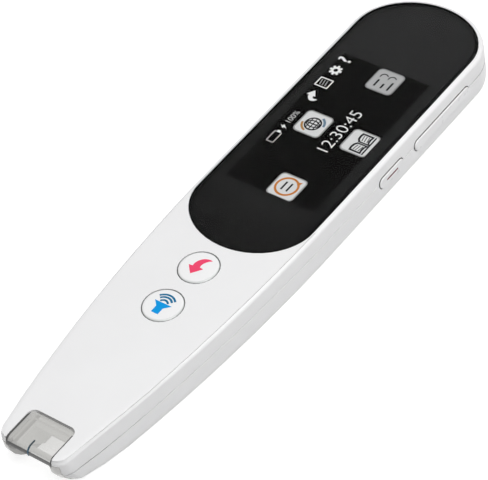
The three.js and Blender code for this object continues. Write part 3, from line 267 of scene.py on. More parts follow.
def places(tree):
    """Where a spot of the piece lies, by the name of the axis."""
    where = tree.nodes.new("ShaderNodeTexCoord")
    axes = tree.nodes.new("ShaderNodeSeparateXYZ")
    tree.links.new(where.outputs["Object"], axes.inputs[0])
    return axes.outputs


def ramped(tree, source, start, end, height=1):
    """Rises from nothing to the height between two values of the source."""
    ramp = tree.nodes.new("ShaderNodeMapRange")
    ramp.inputs["From Min"].default_value = start
    ramp.inputs["From Max"].default_value = end
    ramp.inputs["To Max"].default_value = height
    tree.links.new(source, ramp.inputs["Value"])
    return ramp.outputs["Result"]


def lay_over(material, mask, shade):
    """Lays a plain shade over the finish where the mask is one."""
    tree = material.node_tree
    finish = tree.nodes["Principled BSDF"].inputs["Base Color"]
    under = finish.links[0].from_socket
    tree.links.new(blended(tree, under, shade, mask), finish)


def make_only(piece):
    """Selects this piece alone and makes it active."""
    bpy.ops.object.select_all(action="DESELECT")
    piece.select_set(True)
    bpy.context.view_layer.objects.active = piece


def smooth_copy(node, name, edge=0):
    """The node's own form as one smooth skin: loose triangles merged, flats joined, edges eased."""
    piece = bpy.data.objects.new(name, nodes[node].data.copy())
    scene.collection.objects.link(piece)
    piece.data.materials.clear()
    make_only(piece)
    bpy.ops.object.mode_set(mode="EDIT")
    bpy.ops.mesh.select_all(action="SELECT")
    bpy.ops.mesh.customdata_custom_splitnormals_clear()
    bpy.ops.mesh.remove_doubles(threshold=weld_reach)
    bpy.ops.mesh.dissolve_limited(angle_limit=flat_angle)
    bpy.ops.object.mode_set(mode="OBJECT")
    if edge:
        eased = piece.modifiers.new("eased_edges", "BEVEL")
        eased.width = edge
        eased.segments = 2
        eased.limit_method = "ANGLE"
        eased.angle_limit = eased_angle
        eased.use_clamp_overlap = True
        bpy.ops.object.modifier_apply(modifier=eased.name)
    bpy.ops.object.shade_smooth_by_angle(angle=smooth_angle)
    return piece


def coat(piece, material):
    """Gives a piece or a node this one material."""
    piece.data.materials.clear()
    piece.data.materials.append(material)


def dress(piece, body, slot_name, material, *replaced):
    """Gives a finished piece its material and its body, and hides the nodes it stands for. The slot
    name is not used.
    """
    coat(piece, material)
    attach(piece, body)
    if replaced:
        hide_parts(*replaced)


def outline_edges(piece, level):
    """The convex outline of the piece at one height: a corner and the way out for each edge."""
    spots = [point.co.xy for point in piece.data.vertices if abs(point.co.z - level) < level_slack]
    hull = [spots[i] for i in convex_hull_2d(spots)]
    middle = sum(hull, Vector((0, 0))) / len(hull)
    edges = []
    for first, last in zip(hull, hull[1:] + hull[:1]):
        run = last - first
        if run.length < shortest_run:
            continue
        out = Vector((run.y, -run.x)).normalized()
        edges.append((first, out if out.dot(first - middle) > 0 else -out))
    return edges


def inside_by(edges, point):
    """How far a point lies inside the outline, and the way out to it."""
    return min(((first - point.xy).dot(out), out) for first, out in edges)


def run_share(value, start, run):
    """How much of its run the value has behind it since the start, from nothing to one."""
    return min(max((value - start) / run, 0), 1)


def lift_seam(piece, edges, level, widening=0):
    """Lets the parting line climb from the nose on: only vertices near the outer skin move."""
    for point in piece.data.vertices:
        if abs(point.co.z - level) < seam_slack:
            if inside_by(edges, point.co)[0] < seam_depth + skin_slack:
                share = run_share(point.co.y, seam_climb_start, seam_climb_run)
                nose = run_share(point.co.y, seam_climb_start, -seam_end_run)
                head = run_share(point.co.y, seam_head_start, seam_end_run)
                gain = seam_nose_gain * nose + seam_head_gain * head
                point.co.z += seam_climb * share + widening * (1 + gain)


def face_weighted(piece):
    """Keeps the flats flat, so that each rounded edge alone carries its own turn."""
    make_only(piece)
    weighted = piece.modifiers.new("face_weighted", "WEIGHTED_NORMAL")
    weighted.keep_sharp = True
    weighted.weight = 100
    bpy.ops.object.modifier_apply(modifier=weighted.name)


# Painted shade: above the gap's floor, the back shell is painted dark grey towards the nose and the
# head.
back_white = grained("back_white", white_shade, white_light, shell_roughness)
back_tree = back_white.node_tree
back_place = places(back_tree)
climb = ramped(
    back_tree, back_place["Y"], seam_climb_start, seam_climb_start + seam_climb_run, seam_climb
)
over_seam = joined(back_tree, "SUBTRACT", back_place["Z"], climb)
seam_shade_level = ramped(back_tree, over_seam, seam_under - seam_soft, seam_under + seam_soft)
seam_shade_to_nose = ramped(back_tree, back_place["Y"], *seam_shade_nose, seam_shade_nose_share)
seam_shade_to_head = ramped(back_tree, back_place["Y"], *seam_shade_head)
seam_shade_ends = joined(back_tree, "MAXIMUM", seam_shade_to_nose, seam_shade_to_head)
lay_over(back_white, joined(back_tree, "MULTIPLY", seam_shade_level, seam_shade_ends), seam_painted_shade)
case_outline = outline_edges(nodes["upper_housing"], wall_top)
back_shell = smooth_copy("lower_housing", "back_shell")
lift_seam(back_shell, case_outline, seam_under)
face_weighted(back_shell)
dress(back_shell, "case", "white_plastic", back_white, "lower_housing")

# Upper housing: the frame that carries the face, moulded in the same white. It closes on the
# back shell in a fine shadow gap all round and ends in a thin rim beside the glass.
face_level = 11.3 * mm
cast_round = 1.6 * mm
seen_round = 1 * mm
round_steps = 4
round_slack = 0.05 * mm
nose_corner_start = -77 * mm
nose_corner_run = 4 * mm
seam_over = 6.2 * mm
seam_widening = 0.08 * mm
rim_seam = (0.64 * mm, 0.76 * mm)
panel_edge_foot = wall_top + 0.1 * mm
panel_edge_head = face_level - 0.5 * mm
panel_nose_start = -68 * mm
panel_nose_run = 5 * mm
panel_shift_start = 3 * mm
panel_shift_run = 8 * mm
panel_bow_start = -10 * mm
panel_bow = 0.00018
panel_shift_least = -0.02
panel_shift_most = 0.32
far_side_turn = -0.5


def rounded_level(inset, radius):
    """The height of the rounded edge at this distance from the case's outline."""
    if inset >= radius:
        return face_level
    return face_level - radius + math.sqrt(radius**2 - (radius - max(inset, 0)) ** 2)


def panel_edge_shift(y):
    """How far the panel's edge stands outside its even margin: the rim narrows to the nose."""
    ahead = run_share(y, panel_shift_start, -panel_shift_run)
    reach = (panel_bow_start - min(y, panel_bow_start)) / mm
    return ahead * min(panel_bow * reach**2 + panel_shift_least, panel_shift_most) * mm


def tighten_round(piece, edges, rim=False):
    """Turns the case's edge on a smaller round. The rim's own rings move out with it, and the
    faces inside the rim only rise to the new form."""
    rings = [
        (cast_round * (1 - math.cos(turn)), face_level - cast_round * (1 - math.sin(turn)))
        for turn in (math.pi / 2 * step / round_steps for step in range(round_steps))
    ]
    for point in piece.data.vertices:
        if point.co.z < wall_top - level_slack:
            continue
        inset, out = inside_by(edges, point.co)
        if inset > cast_round + level_slack:
            continue
        share = run_share(point.co.y, nose_corner_start, nose_corner_run)
        radius = cast_round + (seen_round - cast_round) * share
        on_ring = any(
            abs(inset - reach) < level_slack and abs(point.co.z - height) < level_slack
            for reach, height in rings
        )
        if rim and on_ring:
            ratio = radius / cast_round
            point.co.z = face_level - ratio * (face_level - point.co.z)
            move = (1 - ratio) * inset
            point.co.x += out.x * move
            point.co.y += out.y * move
        elif abs(point.co.z - rounded_level(inset, cast_round)) < round_slack:
            point.co.z = rounded_level(inset, radius)


def shift_panel_edge(piece, edges, nearest, farthest, closing=0):
    """Moves the seam between panel and rim, which lies between these distances inside. It closes
    up where the panel reaches the nose, and all along the side away from the keys."""
    for point in piece.data.vertices:
        inset, out = inside_by(edges, point.co)
        if nearest < inset < farthest and point.co.z > panel_edge_foot:
            ahead = run_share(point.co.y, panel_nose_start, -panel_nose_run)
            if out.x < far_side_turn:
                ahead = 1
            move = panel_edge_shift(point.co.y) + closing * ahead
            point.co.x += out.x * move
            point.co.y += out.y * move
            if point.co.z > panel_edge_head:
                point.co.z = rounded_level(inset - move, seen_round)


shell_white = grained("shell_white", white_shade, white_light, shell_roughness)
face_frame = smooth_copy("upper_housing", "face_frame")
lift_seam(face_frame, case_outline, seam_over, seam_widening)
tighten_round(face_frame, case_outline, rim=True)
shift_panel_edge(face_frame, case_outline, *rim_seam)
face_weighted(face_frame)
dress(face_frame, "case", "white_plastic", shell_white, "upper_housing")

# Front panel: a flat white plate bonded into the rim between the glass and the nose, with the
# two round button holes. It was wiped to a slightly finer finish than the shells.
panel_seam = (0.79 * mm, 0.91 * mm)
panel_seam_closing = 0.14 * mm
panel_white = grained("panel_white", white_shade, white_light, 0.30, fine=7000)
front_plate = smooth_copy("front_panel", "front_plate")
tighten_round(front_plate, case_outline)
shift_panel_edge(front_plate, case_outline, *panel_seam, panel_seam_closing)
face_weighted(front_plate)
dress(front_plate, "case", "white_plastic", panel_white, "front_panel")

# Face buttons: low domed caps moulded in gloss white plastic, with a well rounded edge. Each has a
# flange that keeps it under the panel and a stem over its switch. The edge is painted grey on the
# side away from the lamps and towards the panel face, and near black below it, as painted shade.
button_turns = 96
button_flange_radius = 5.5 * mm
button_flange_thickness = 0.6 * mm
button_stem_radius = 1.4 * mm
button_cap_foot = 9.95 * mm
button_cap_radius = 4.86 * mm
button_edge = 0.35 * mm
button_edge_reach = 0.8 * mm
button_edge_steps = 8
button_crown_radius = button_cap_radius - button_edge_reach
button_dome = 0.05 * mm
button_dome_rings = 7
button_top_reach = 0.1 * mm
button_smooth_angle = math.radians(40)
end_turn = 0.9
button_faces = {
    "speak": ("speak_button", "speak_button_cap"),
    "back": ("back_button", "back_button_cap"),
}
cap_shade = (0.84, 0.84, 0.845, 1)
cap_light = (0.89, 0.89, 0.895, 1)
# Painted shade: grey for the caps' edges, and near black for the gaps round caps and keys.
turned_painted_shade = (0.66, 0.68, 0.67, 1)
cap_edge_painted_shade = (0.40, 0.42, 0.41, 1)
gap_painted_shade = (0.02, 0.02, 0.021, 1)
away_from_lamps = (0.75, -0.66, 0)
turned_range = (0.08, 0.34)
panel_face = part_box("front_panel")[1].z
edge_levels = (panel_face - 0.04 * mm, panel_face + 0.05 * mm)
gap_levels = (panel_face - 0.12 * mm, panel_face - 0.05 * mm)


def darkened_along(material, axis, low, high, shade):
    """Paints a darker colour by the place along one axis: full at low, gone at high.
    It is painted shade in gaps, openings and on the glass border, and darkens the guide's top.
    """
    tree = material.node_tree
    lay_over(material, ramped(tree, places(tree)[axis], high, low), shade)


def paint_turned_shade(material, direction, low, high, shade):
    """Paints shade over the rounded edge where it turns towards a fixed direction."""
    tree = material.node_tree
    surface = tree.nodes.new("ShaderNodeNewGeometry")
    turn = tree.nodes.new("ShaderNodeVectorMath")
    turn.operation = "DOT_PRODUCT"
    turn.inputs[1].default_value = direction
    tree.links.new(surface.outputs["Normal"], turn.inputs[0])
    lay_over(material, ramped(tree, turn.outputs["Value"], low, high), shade)


def pick_ends(piece, way):
    """In edit mode, leaves only the faces selected that look up (1) or down (-1)."""
    bpy.ops.object.mode_set(mode="OBJECT")
    mesh = piece.data
    for group in (mesh.vertices, mesh.edges, mesh.polygons):
        group.foreach_set("select", [False] * len(group))
    for face in mesh.polygons:
        face.select = face.normal.z * way > end_turn
    bpy.ops.object.mode_set(mode="EDIT")
    bpy.ops.mesh.select_mode(type="FACE")


def draw_in(centre, rise, share):
    """Draws one more ring out of the selected face: higher, and narrower about the centre."""
    bpy.ops.mesh.extrude_region_move()
    bpy.ops.transform.translate(value=(0, 0, rise))
    bpy.ops.transform.resize(value=(share, share, 1), center_override=centre)


def modelled_button(name, low, high):
    """Flange, stem and domed cap, drawn out of one disc."""
    middle = (low + high) / 2
    centre = (middle.x, middle.y, high.z)
    flange_foot = button_cap_foot - button_flange_thickness
    crown_foot = high.z - button_dome
    bpy.ops.mesh.primitive_cylinder_add(
        vertices=button_turns,
        radius=button_flange_radius,
        depth=button_flange_thickness,
        location=(middle.x, middle.y, button_cap_foot - button_flange_thickness / 2),
    )
    piece = bpy.context.object
    piece.name = name
    make_only(piece)
    bpy.ops.object.transform_apply(location=True, rotation=True, scale=True)
    for way, radius, reach in (
        (-1, button_stem_radius, low.z - flange_foot),
        (1, button_cap_radius, crown_foot - button_edge - button_cap_foot),
    ):
        pick_ends(piece, way)
        bpy.ops.mesh.inset(thickness=button_flange_radius - radius)
        bpy.ops.mesh.extrude_region_move(TRANSFORM_OT_translate={"value": (0, 0, reach)})
    for step in range(button_edge_steps):
        left = (button_edge_steps - 1 - step) / button_edge_steps
        rise = (left + 1 / button_edge_steps) ** 2 - left**2
        radius = button_cap_radius - button_edge_reach * step / button_edge_steps
        share = (radius - button_edge_reach / button_edge_steps) / radius
        draw_in(centre, button_edge * rise, share)
    for step in range(button_dome_rings - 1):
        outer = 1 - step / button_dome_rings
        inner = 1 - (step + 1) / button_dome_rings
        draw_in(centre, button_dome * (outer**2 - inner**2), inner / outer)
    bpy.ops.mesh.poke()
    bpy.ops.object.mode_set(mode="OBJECT")
    for point in piece.data.vertices:
        if (point.co.xy - middle.xy).length < button_top_reach and point.co.z > crown_foot:
            point.co.z = high.z
    bpy.ops.object.shade_smooth_by_angle(angle=button_smooth_angle)
    return piece


gloss_white = grained("gloss_white", cap_shade, cap_light, 0.2, spread=0.05, relief=0.001 * mm)
# Painted shade: grey where the edge faces away from the lamps and near the panel face, near black
# in the gap below.
paint_turned_shade(gloss_white, away_from_lamps, *turned_range, turned_painted_shade)
darkened_along(gloss_white, "Z", *edge_levels, cap_edge_painted_shade)
darkened_along(gloss_white, "Z", *gap_levels, gap_painted_shade)
for sign, (node, body) in button_faces.items():
    cap = modelled_button(sign + "_cap", *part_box(node))
    dress(cap, body, "white_plastic", gloss_white, node)

# Button signs: pad-printed before the clear lacquer, a red arrow that bends back on itself and a
# blue loudspeaker with three darker arcs. They follow the caps' domes and stand hardly proud.
print_thickness = 0.02 * mm
print_sunk = 0.004 * mm
print_grid = 0.35 * mm
print_smooth_angle = math.radians(30)
arrow_outline = [
    (-2.45, 0.5), (-0.35, 2.5), (-0.25, 1.45), (0.3, 1.52), (0.9, 1.45), (1.6, 1.15),
    (2.25, 0.65), (2.7, 0.0), (2.95, -0.7), (3.0, -1.3), (2.85, -1.8), (2.5, -1.25),
    (1.975, -0.78), (1.4, -0.45), (0.8, -0.28), (0.05, -0.33), (-0.1, -1.375),
]
speaker_box = [(-2.8, 1.15), (-0.9, 1.15), (0.45, 2.5), (0.45, -2.15), (-0.9, -0.75), (-2.8, -0.75)]
speaker_arc_centre = (0.075, 0.2)
speaker_arcs = [(1.2, 62), (2.1, 52), (2.85, 50)]
speaker_arc_width = 0.5
sign_red = (0.84, 0.065, 0.155, 1)
sign_blue = (0.0, 0.30, 0.73, 1)
sign_teal = (0.0, 0.14, 0.29, 1)


def printed(name, shade, light=None):
    """Dull printing ink, of one colour or of two close ones."""
    return grained(name, shade, light or shade, 0.4, Specular_IOR_Level=0.15)


def spun(centre, reach, turn):
    """The spot at this reach and turn round a centre."""
    return (centre[0] + reach * math.cos(turn), centre[1] + reach * math.sin(turn))


def arc_outline(centre, radius, width, first, last, steps=16):
    """The outline of a bent bar with square ends, between two angles in degrees."""
    outline = []
    for side, turns in ((width / 2, range(steps + 1)), (-width / 2, range(steps, -1, -1))):
        for step in turns:
            turn = math.radians(first + (last - first) * step / steps)
            outline.append(spun(centre, radius + side, turn))
    return outline


def drawn(name, outlines, place, level, thickness=print_thickness):
    """A flat sign cut along its outlines, given in millimetres along the pen and across it.
    An outline inside another cuts a hole. The sign reads towards the head, its top at -X."""
    curve = bpy.data.curves.new(name, "CURVE")
    curve.dimensions = "2D"
    curve.fill_mode = "BOTH"
    curve.extrude = thickness / 2
    for outline in outlines:
        line = curve.splines.new("POLY")
        line.points.add(len(outline) - 1)
        for point, (along, up) in zip(line.points, outline):
            point.co = (place[0] - up * mm, place[1] + along * mm, 0, 1)
        line.use_cyclic_u = True
    piece = bpy.data.objects.new(name, curve)
    scene.collection.objects.link(piece)
    piece.location.z = level + thickness / 2
    make_only(piece)
    bpy.ops.object.convert(target="MESH")
    piece = bpy.context.object
    bpy.ops.object.transform_apply(location=True, rotation=True, scale=True)
    bpy.ops.object.mode_set(mode="EDIT")
    bpy.ops.mesh.select_all(action="SELECT")
    bpy.ops.mesh.remove_doubles(threshold=0.001 * mm)
    bpy.ops.mesh.normals_make_consistent(inside=False)
    bpy.ops.object.mode_set(mode="OBJECT")
    return piece


def extent(piece):
    """The lowest and highest corners of the piece."""
    spots = [point.co for point in piece.data.vertices]
    return [Vector([pick(spot[i] for spot in spots) for i in range(3)]) for pick in (min, max)]


def lay_on_dome(piece, centre, crown_level, crown_radius):
    """Cuts the sign along a fine grid and lets it down onto the cap's dome."""
    low, high = extent(piece)
    make_only(piece)
    bpy.ops.object.mode_set(mode="EDIT")
    for axis, normal in ((0, (1, 0, 0)), (1, (0, 1, 0))):
        cut = low[axis] + print_grid
        while cut < high[axis]:
            at = [0, 0, 0]
            at[axis] = cut
            bpy.ops.mesh.select_all(action="SELECT")
            bpy.ops.mesh.bisect(plane_co=at, plane_no=normal)
            cut += print_grid
    bpy.ops.object.mode_set(mode="OBJECT")
    for point in piece.data.vertices:
        off = math.hypot(point.co.x - centre[0], point.co.y - centre[1])
        drop = button_dome * (off / crown_radius) ** 2
        point.co.z += crown_level - drop - low.z
    bpy.ops.object.shade_smooth_by_angle(angle=print_smooth_angle)


speaker_waves = [
    arc_outline(speaker_arc_centre, radius, speaker_arc_width, -half, half)
    for radius, half in speaker_arcs
]
button_signs = (
    ("back", "arrow_print", [arrow_outline], printed("print_red", sign_red)),
    ("speak", "speaker_print", [speaker_box], printed("print_blue", sign_blue)),
    ("speak", "speaker_waves_print", speaker_waves, printed("print_teal", sign_teal)),
)
for sign, name, outlines, ink in button_signs:
    node, body = button_faces[sign]
    low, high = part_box(node)
    middle = (low + high) / 2
    piece = drawn(name, outlines, middle.xy, high.z)
    lay_on_dome(piece, middle.xy, high.z - print_sunk, button_crown_radius)
    dress(piece, body, "white_plastic", ink)

# Screen module: a glass sandwich in a dark frame, with a thin foot where its flexible circuit is
# bonded. Unlit, its face is near black.
panel_dark = grained(
    "panel_dark", grey(0.0002), grey(0.0004), 0.35, broad=300, Specular_IOR_Level=0
)
coat(nodes["display_panel"], panel_dark)

# Screen picture: lit signs on the dark screen. A row of small white signs runs along the top,
# then four pale tiles round a clock. All is measured in millimetres from the picture's corner.
screen_corner = Vector((-13.05 * mm, 7.32 * mm))
screen_size = (46.6, 24.8)
picture_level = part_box("display_panel")[1].z
picture_layer = 0.03 * mm
tile_layer = 0.7
sign_layer = 1.6
lit_dimmest = 0.86
figure_share = 0.7
tile_size = (7.45, 7.5)
tile_corner = 1.3
tile_rim = 0.36
tile_places = {
    "ring_tile": (3.58, 14.75),
    "globe_tile": (23.3, 7.95),
    "book_tile": (23.2, 21.3),
    "word_tile": (42.95, 14.6),
}
battery_centre = (15.55, 2.25)
bolt_outline = [
    (19.75, 1.15), (18.75, 2.35), (19.3, 2.35), (18.95, 3.3), (20.05, 1.95), (19.45, 1.95),
]
turn_outline = [
    (32.85, 1.65), (31.05, 0.4), (31.05, 1.05), (30.3, 1.3), (29.65, 1.9), (29.45, 2.7),
    (29.7, 3.4), (30.25, 3.85), (30.55, 3.7), (30.3, 3.2), (30.35, 2.7), (30.65, 2.4),
    (31.05, 2.3), (31.05, 2.9),
]
page_centre = (36.0, 1.9)
gear_centre = (40.85, 1.85)
gear_teeth = 8
gear_tooth = ((-16, 1.18), (-9, 1.66), (9, 1.66), (16, 1.18))
gear_hole = 0.55
ring_centre = (3.62, 14.72)
ring_tail = [(4.7, 16.9), (6.25, 17.35), (5.75, 16.0)]
globe_centre = (23.22, 7.9)
globe_x, globe_y = globe_centre
globe_radius = 1.95
globe_row_halves = ((-1.0, 1.65), (0, 1.95), (1.0, 1.65))
book_x, book_y = (23.2, 21.9)
book_page = [
    (0.06, -1.2), (0.9, -1.85), (1.9, -2.0), (3.05, -1.8), (3.05, 1.5), (1.9, 1.3),
    (0.9, 1.4), (0.06, 1.9),
]
book_paper = [
    (0.46, -0.85), (1.0, -1.3), (1.9, -1.45), (2.56, -1.32), (2.56, 0.96), (1.9, 0.76),
    (1.0, 0.85), (0.46, 1.2),
]
word_start = 40.6
word_ends = ((43.0, 12.9), (42.2, 14.8), (43.4, 16.6))


def glowing(name, colour):
    """Lit picture elements: their own light, a little uneven as a backlight is."""
    material, tree, shader = new_material(
        name, Base_Color=grey(0), Roughness=0.5, Specular_IOR_Level=0, Emission_Strength=1
    )
    dimmer = (*(lit_dimmest * part for part in colour[:3]), 1)
    grain = grain_in(tree, fine=9000, broad=300)
    tree.links.new(blended(tree, dimmer, colour, grain["Tone"]), shader.inputs["Emission Color"])
    return material


def rounded(centre, size, corner, steps=6):
    """The outline of a rectangle with round corners."""
    outline = []
    reach = (size[0] / 2 - corner, size[1] / 2 - corner)
    for quarter, (sx, sy) in enumerate(((1, 1), (-1, 1), (-1, -1), (1, -1))):
        pivot = (centre[0] + sx * reach[0], centre[1] + sy * reach[1])
        for step in range(steps + 1):
            outline.append(spun(pivot, corner, math.radians(90 * (quarter + step / steps))))
    return outline


def circle(centre, radius, steps=32):
    """The outline of a disc."""
    return [spun(centre, radius, math.tau * step / steps) for step in range(steps)]


def ring(centre, radius, width):
    """The two outlines of a ring."""
    return [circle(centre, radius + width / 2), circle(centre, radius - width / 2)]


def bar(first, last, width):
    """The outline of a straight stroke with square ends."""
    run = Vector(last) - Vector(first)
    across = Vector((-run.y, run.x)).normalized() * width / 2
    ends = (Vector(first), Vector(last))
    return [
        tuple(ends[0] + across), tuple(ends[0] - across),
        tuple(ends[1] - across), tuple(ends[1] + across),
    ]


def on_screen(name, outlines, ink, layer=sign_layer):
    """A lit sign on one of the picture's layers, its outlines given along the pen and down."""
    flipped = [[(along, -down) for along, down in outline] for outline in outlines]
    piece = drawn(name, flipped, screen_corner, picture_level + layer * picture_layer)
    dress(piece, "case", "screen", ink)


def written(name, words, along, down, height, ink, thinning=0):
    """Plain figures on the screen: left end, base line and height."""
    bpy.ops.object.text_add()
    piece = bpy.context.object
    piece.name = name
    piece.data.body = words
    piece.data.size = height * mm / figure_share
    piece.data.extrude = print_thickness / 2
    piece.data.offset = -thinning * mm
    make_only(piece)
    bpy.ops.object.convert(target="MESH")
    piece = bpy.context.object
    piece.name = name
    corner = (screen_corner[0] + down * mm, screen_corner[1] + along * mm)
    spot = Matrix.Translation((*corner, picture_level + print_thickness / 2))
    piece.matrix_world = spot @ Matrix.Rotation(math.radians(90), 4, "Z")
    bpy.ops.object.transform_apply(location=True, rotation=True, scale=True)
    dress(piece, "case", "screen", ink)


lit_white = glowing("lit_white", grey(0.86))
lit_dim = glowing("lit_dim", grey(0.55))
lit_tile = glowing("lit_tile", grey(0.72))
lit_grey_tile = glowing("lit_grey_tile", grey(0.45))
lit_rim = glowing("lit_rim", (0.33, 0.33, 0.325, 1))
lit_grey_rim = glowing("lit_grey_rim", grey(0.26))
lit_black = glowing("lit_black", (0.02, 0.02, 0.022, 1))
lit_orange = glowing("lit_orange", (0.56, 0.20, 0.045, 1))
lit_brown = glowing("lit_brown", (0.42, 0.22, 0.07, 1))
lit_slate = glowing("lit_slate", (0.14, 0.22, 0.30, 1))

tile_inner_size = tuple(side - 2 * tile_rim for side in tile_size)
for name, centre in tile_places.items():
    ink, rim_ink = (lit_grey_tile, lit_grey_rim) if name == "word_tile" else (lit_tile, lit_rim)
    on_screen(name + "_rim", [rounded(centre, tile_size, tile_corner)], rim_ink, 0)
    inner = rounded(centre, tile_inner_size, tile_corner - tile_rim)
    on_screen(name, [inner], ink, tile_layer)

battery_sign = [
    rounded(battery_centre, (3.6, 2.05), 0.25),
    rounded(battery_centre, (3.3, 1.75), 0.12),
    bar((17.35, 2.25), (17.85, 2.25), 0.85),
]
page_sign = [rounded(page_centre, (3.1, 3.7), 0.12), rounded(page_centre, (2.5, 3.1), 0.05)]
page_lines = [bar((35.1, 1.2 + 0.75 * row), (36.9, 0.9 + 0.75 * row), 0.16) for row in range(3)]
gear_outline = [
    spun(gear_centre, reach, math.radians(360 / gear_teeth * tooth + offset))
    for tooth in range(gear_teeth)
    for offset, reach in gear_tooth
]
on_screen("battery_sign", battery_sign, lit_white, 0)
on_screen("bolt_sign", [bolt_outline], lit_white, 0)
on_screen("turn_sign", [turn_outline], lit_white, 0)
on_screen("page_sign", page_sign, lit_white, 0)
on_screen("page_lines", page_lines, lit_dim, 0)
on_screen("gear_sign", [gear_outline, circle(gear_centre, gear_hole)], lit_white, 0)
written("charge_figures", "100%", 20.65, 2.9, 1.45, lit_dim)
written("help_sign", "?", 44.0, 3.25, 3.5, lit_white, thinning=-0.08)
written("clock_figures", "12:30:45", 16.1, 16.45, 3.2, lit_white, thinning=0.055)

ring_bars = [bar((2.3, down), (4.95, down), 0.46) for down in (13.95, 15.45)]
on_screen("ring_sign", ring(ring_centre, 2.7, 0.56), lit_orange)
on_screen("ring_tail", [ring_tail], lit_orange)
on_screen("ring_bars", ring_bars, lit_black)

globe_bar = bar((globe_x, globe_y - globe_radius), (globe_x, globe_y + globe_radius), 0.36)
globe_rows = [
    bar((globe_x - half, globe_y + row), (globe_x + half, globe_y + row), 0.26)
    for row, half in globe_row_halves
]
globe_meridians = [
    arc_outline((globe_x - 1.35, globe_y), 2.35, 0.34, -54, 54),
    arc_outline((globe_x + 1.35, globe_y), 2.35, 0.34, 126, 234),
]
on_screen("globe_rim", ring(globe_centre, globe_radius, 0.42), lit_black)
on_screen("globe_bars", [globe_bar], lit_black)
on_screen("globe_rows", globe_rows, lit_black, 1.8)
on_screen("globe_meridians", globe_meridians, lit_black, 2.0)
on_screen("globe_warm_arc", [arc_outline(globe_centre, 2.65, 0.55, 195, 262)], lit_brown)
on_screen("globe_cool_arc", [arc_outline(globe_centre, 2.75, 0.6, 25, 85)], lit_slate)

for side, page_name in ((-1, "book_left"), (1, "book_right")):
    page = [
        [(book_x + side * along, book_y + down) for along, down in line]
        for line in (book_page, book_paper)
    ]
    lines = [
        bar(
            (book_x + side * 0.7, book_y - 0.65 + 0.7 * row),
            (book_x + side * 2.45, book_y - 0.95 + 0.7 * row),
            0.2,
        )
        for row in range(3)
    ]
    on_screen(page_name, page, lit_black)
    on_screen(page_name + "_lines", lines, lit_black)
on_screen("book_foot", [bar((20.1, 23.8), (26.3, 23.8), 0.4)], lit_black, 1.8)

word_bars = [bar((word_start, down), (end, down), 0.5) for end, down in word_ends]
word_hooks = [arc_outline((44.2, down), 0.95, 0.3, -110, 60) for down in (13.45, 15.75)]
on_screen("word_bars", word_bars, lit_black)
on_screen("word_hooks", word_hooks, lit_black)

# Cover glass: chemically hardened and coated against glare, with its edge ground to the case's own
# round and blackened. The black border is printed on its underside and leaves the screen clear.
glass_ior = 1.1
glass_lift = 0.12 * mm
glass_flat_turn = 0.97
border_under = 0.06 * mm
border_thickness = 0.03 * mm
border_painted_shade = grey(0.006)
screen_window = (46.7, 24.9)
window_corner = 0.15
edge_line_width = 0.4
edge_line_taper = 0.03
edge_line_gain = 1.6
edge_line_side = Vector((-0.4, -0.92))
edge_line_sunk = 0.004 * mm
edge_line_thickness = 0.008 * mm
clear_glass = new_material(
    "clear_glass", Base_Color=(0.96, 0.97, 0.97, 1), Roughness=0, IOR=glass_ior,
    Transmission_Weight=1,
)[0]
edge_black = grained(
    "edge_black", grey(0.002), grey(0.003), 0.12, relief=0, Specular_IOR_Level=0.05
)
border_black = grained(
    "border_black", grey(0.014), grey(0.017), 0.5, broad=80, Specular_IOR_Level=0
)


def flat_outline(piece, way):
    """The outline of the largest flat that looks up (1) or down (-1), measured as a sign's is."""
    flats = (face for face in piece.data.polygons if face.normal.z * way > end_turn)
    flat = max(flats, key=lambda face: face.area)
    spots = [piece.data.vertices[i].co for i in flat.vertices]
    return [(spot.y / mm, -spot.x / mm) for spot in spots]


cover = smooth_copy("cover_glass", "cover_pane")
tighten_round(cover, case_outline)
glass_low, glass_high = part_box("cover_glass")
for point in cover.data.vertices:
    if point.co.z < glass_low.z + 0.01 * mm:
        point.co.z += glass_lift
dress(cover, "case", "black_glass", clear_glass, "cover_glass")
cover.data.materials.append(edge_black)
for face in cover.data.polygons:
    if abs(face.normal.z) < glass_flat_turn:
        face.material_index = 1

window_middle = (
    screen_corner[1] / mm + screen_size[0] / 2,
    -screen_corner[0] / mm - screen_size[1] / 2,
)
window_outline = rounded(window_middle, screen_window, window_corner)
border_outlines = [flat_outline(cover, -1), window_outline]
border_level = glass_low.z + border_under
border = drawn("glass_border", border_outlines, (0, 0), border_level, border_thickness)
# Painted shade: the border is painted darker towards the nose end.
darkened_along(border_black, "Y", glass_low.y, glass_high.y, border_painted_shade)
dress(border, "case", "black_glass", border_black)

top_outline = flat_outline(cover, 1)
top_middle = Vector([sum(point[i] for point in top_outline) / len(top_outline) for i in (0, 1)])
inner_line = []
for index, point in enumerate(top_outline):
    before = top_outline[index - 1]
    after = top_outline[(index + 1) % len(top_outline)]
    out = Vector((after[1] - before[1], before[0] - after[0])).normalized()
    if out.dot(Vector(point) - top_middle) < 0:
        out = -out
    turned = min(max(edge_line_gain * out.dot(edge_line_side), 0), 1)
    width = max(edge_line_width * turned, edge_line_taper)
    inner_line.append((point[0] - out.x * width, point[1] - out.y * width))
line_outlines = [top_outline, inner_line]
line_level = glass_high.z - edge_line_sunk
edge_line = drawn("glass_edge_line", line_outlines, (0, 0), line_level, edge_line_thickness)
dress(edge_line, "case", "black_glass", edge_black)

# Glass adhesive: a die-cut film round the screen, black and slightly rough, that bonds the glass
# into the upper housing.
film_black = grained(
    "film_black", (0.008, 0.008, 0.009, 1), (0.016, 0.016, 0.017, 1), 0.7, broad=500
)
coat(nodes["glass_adhesive"], film_black)

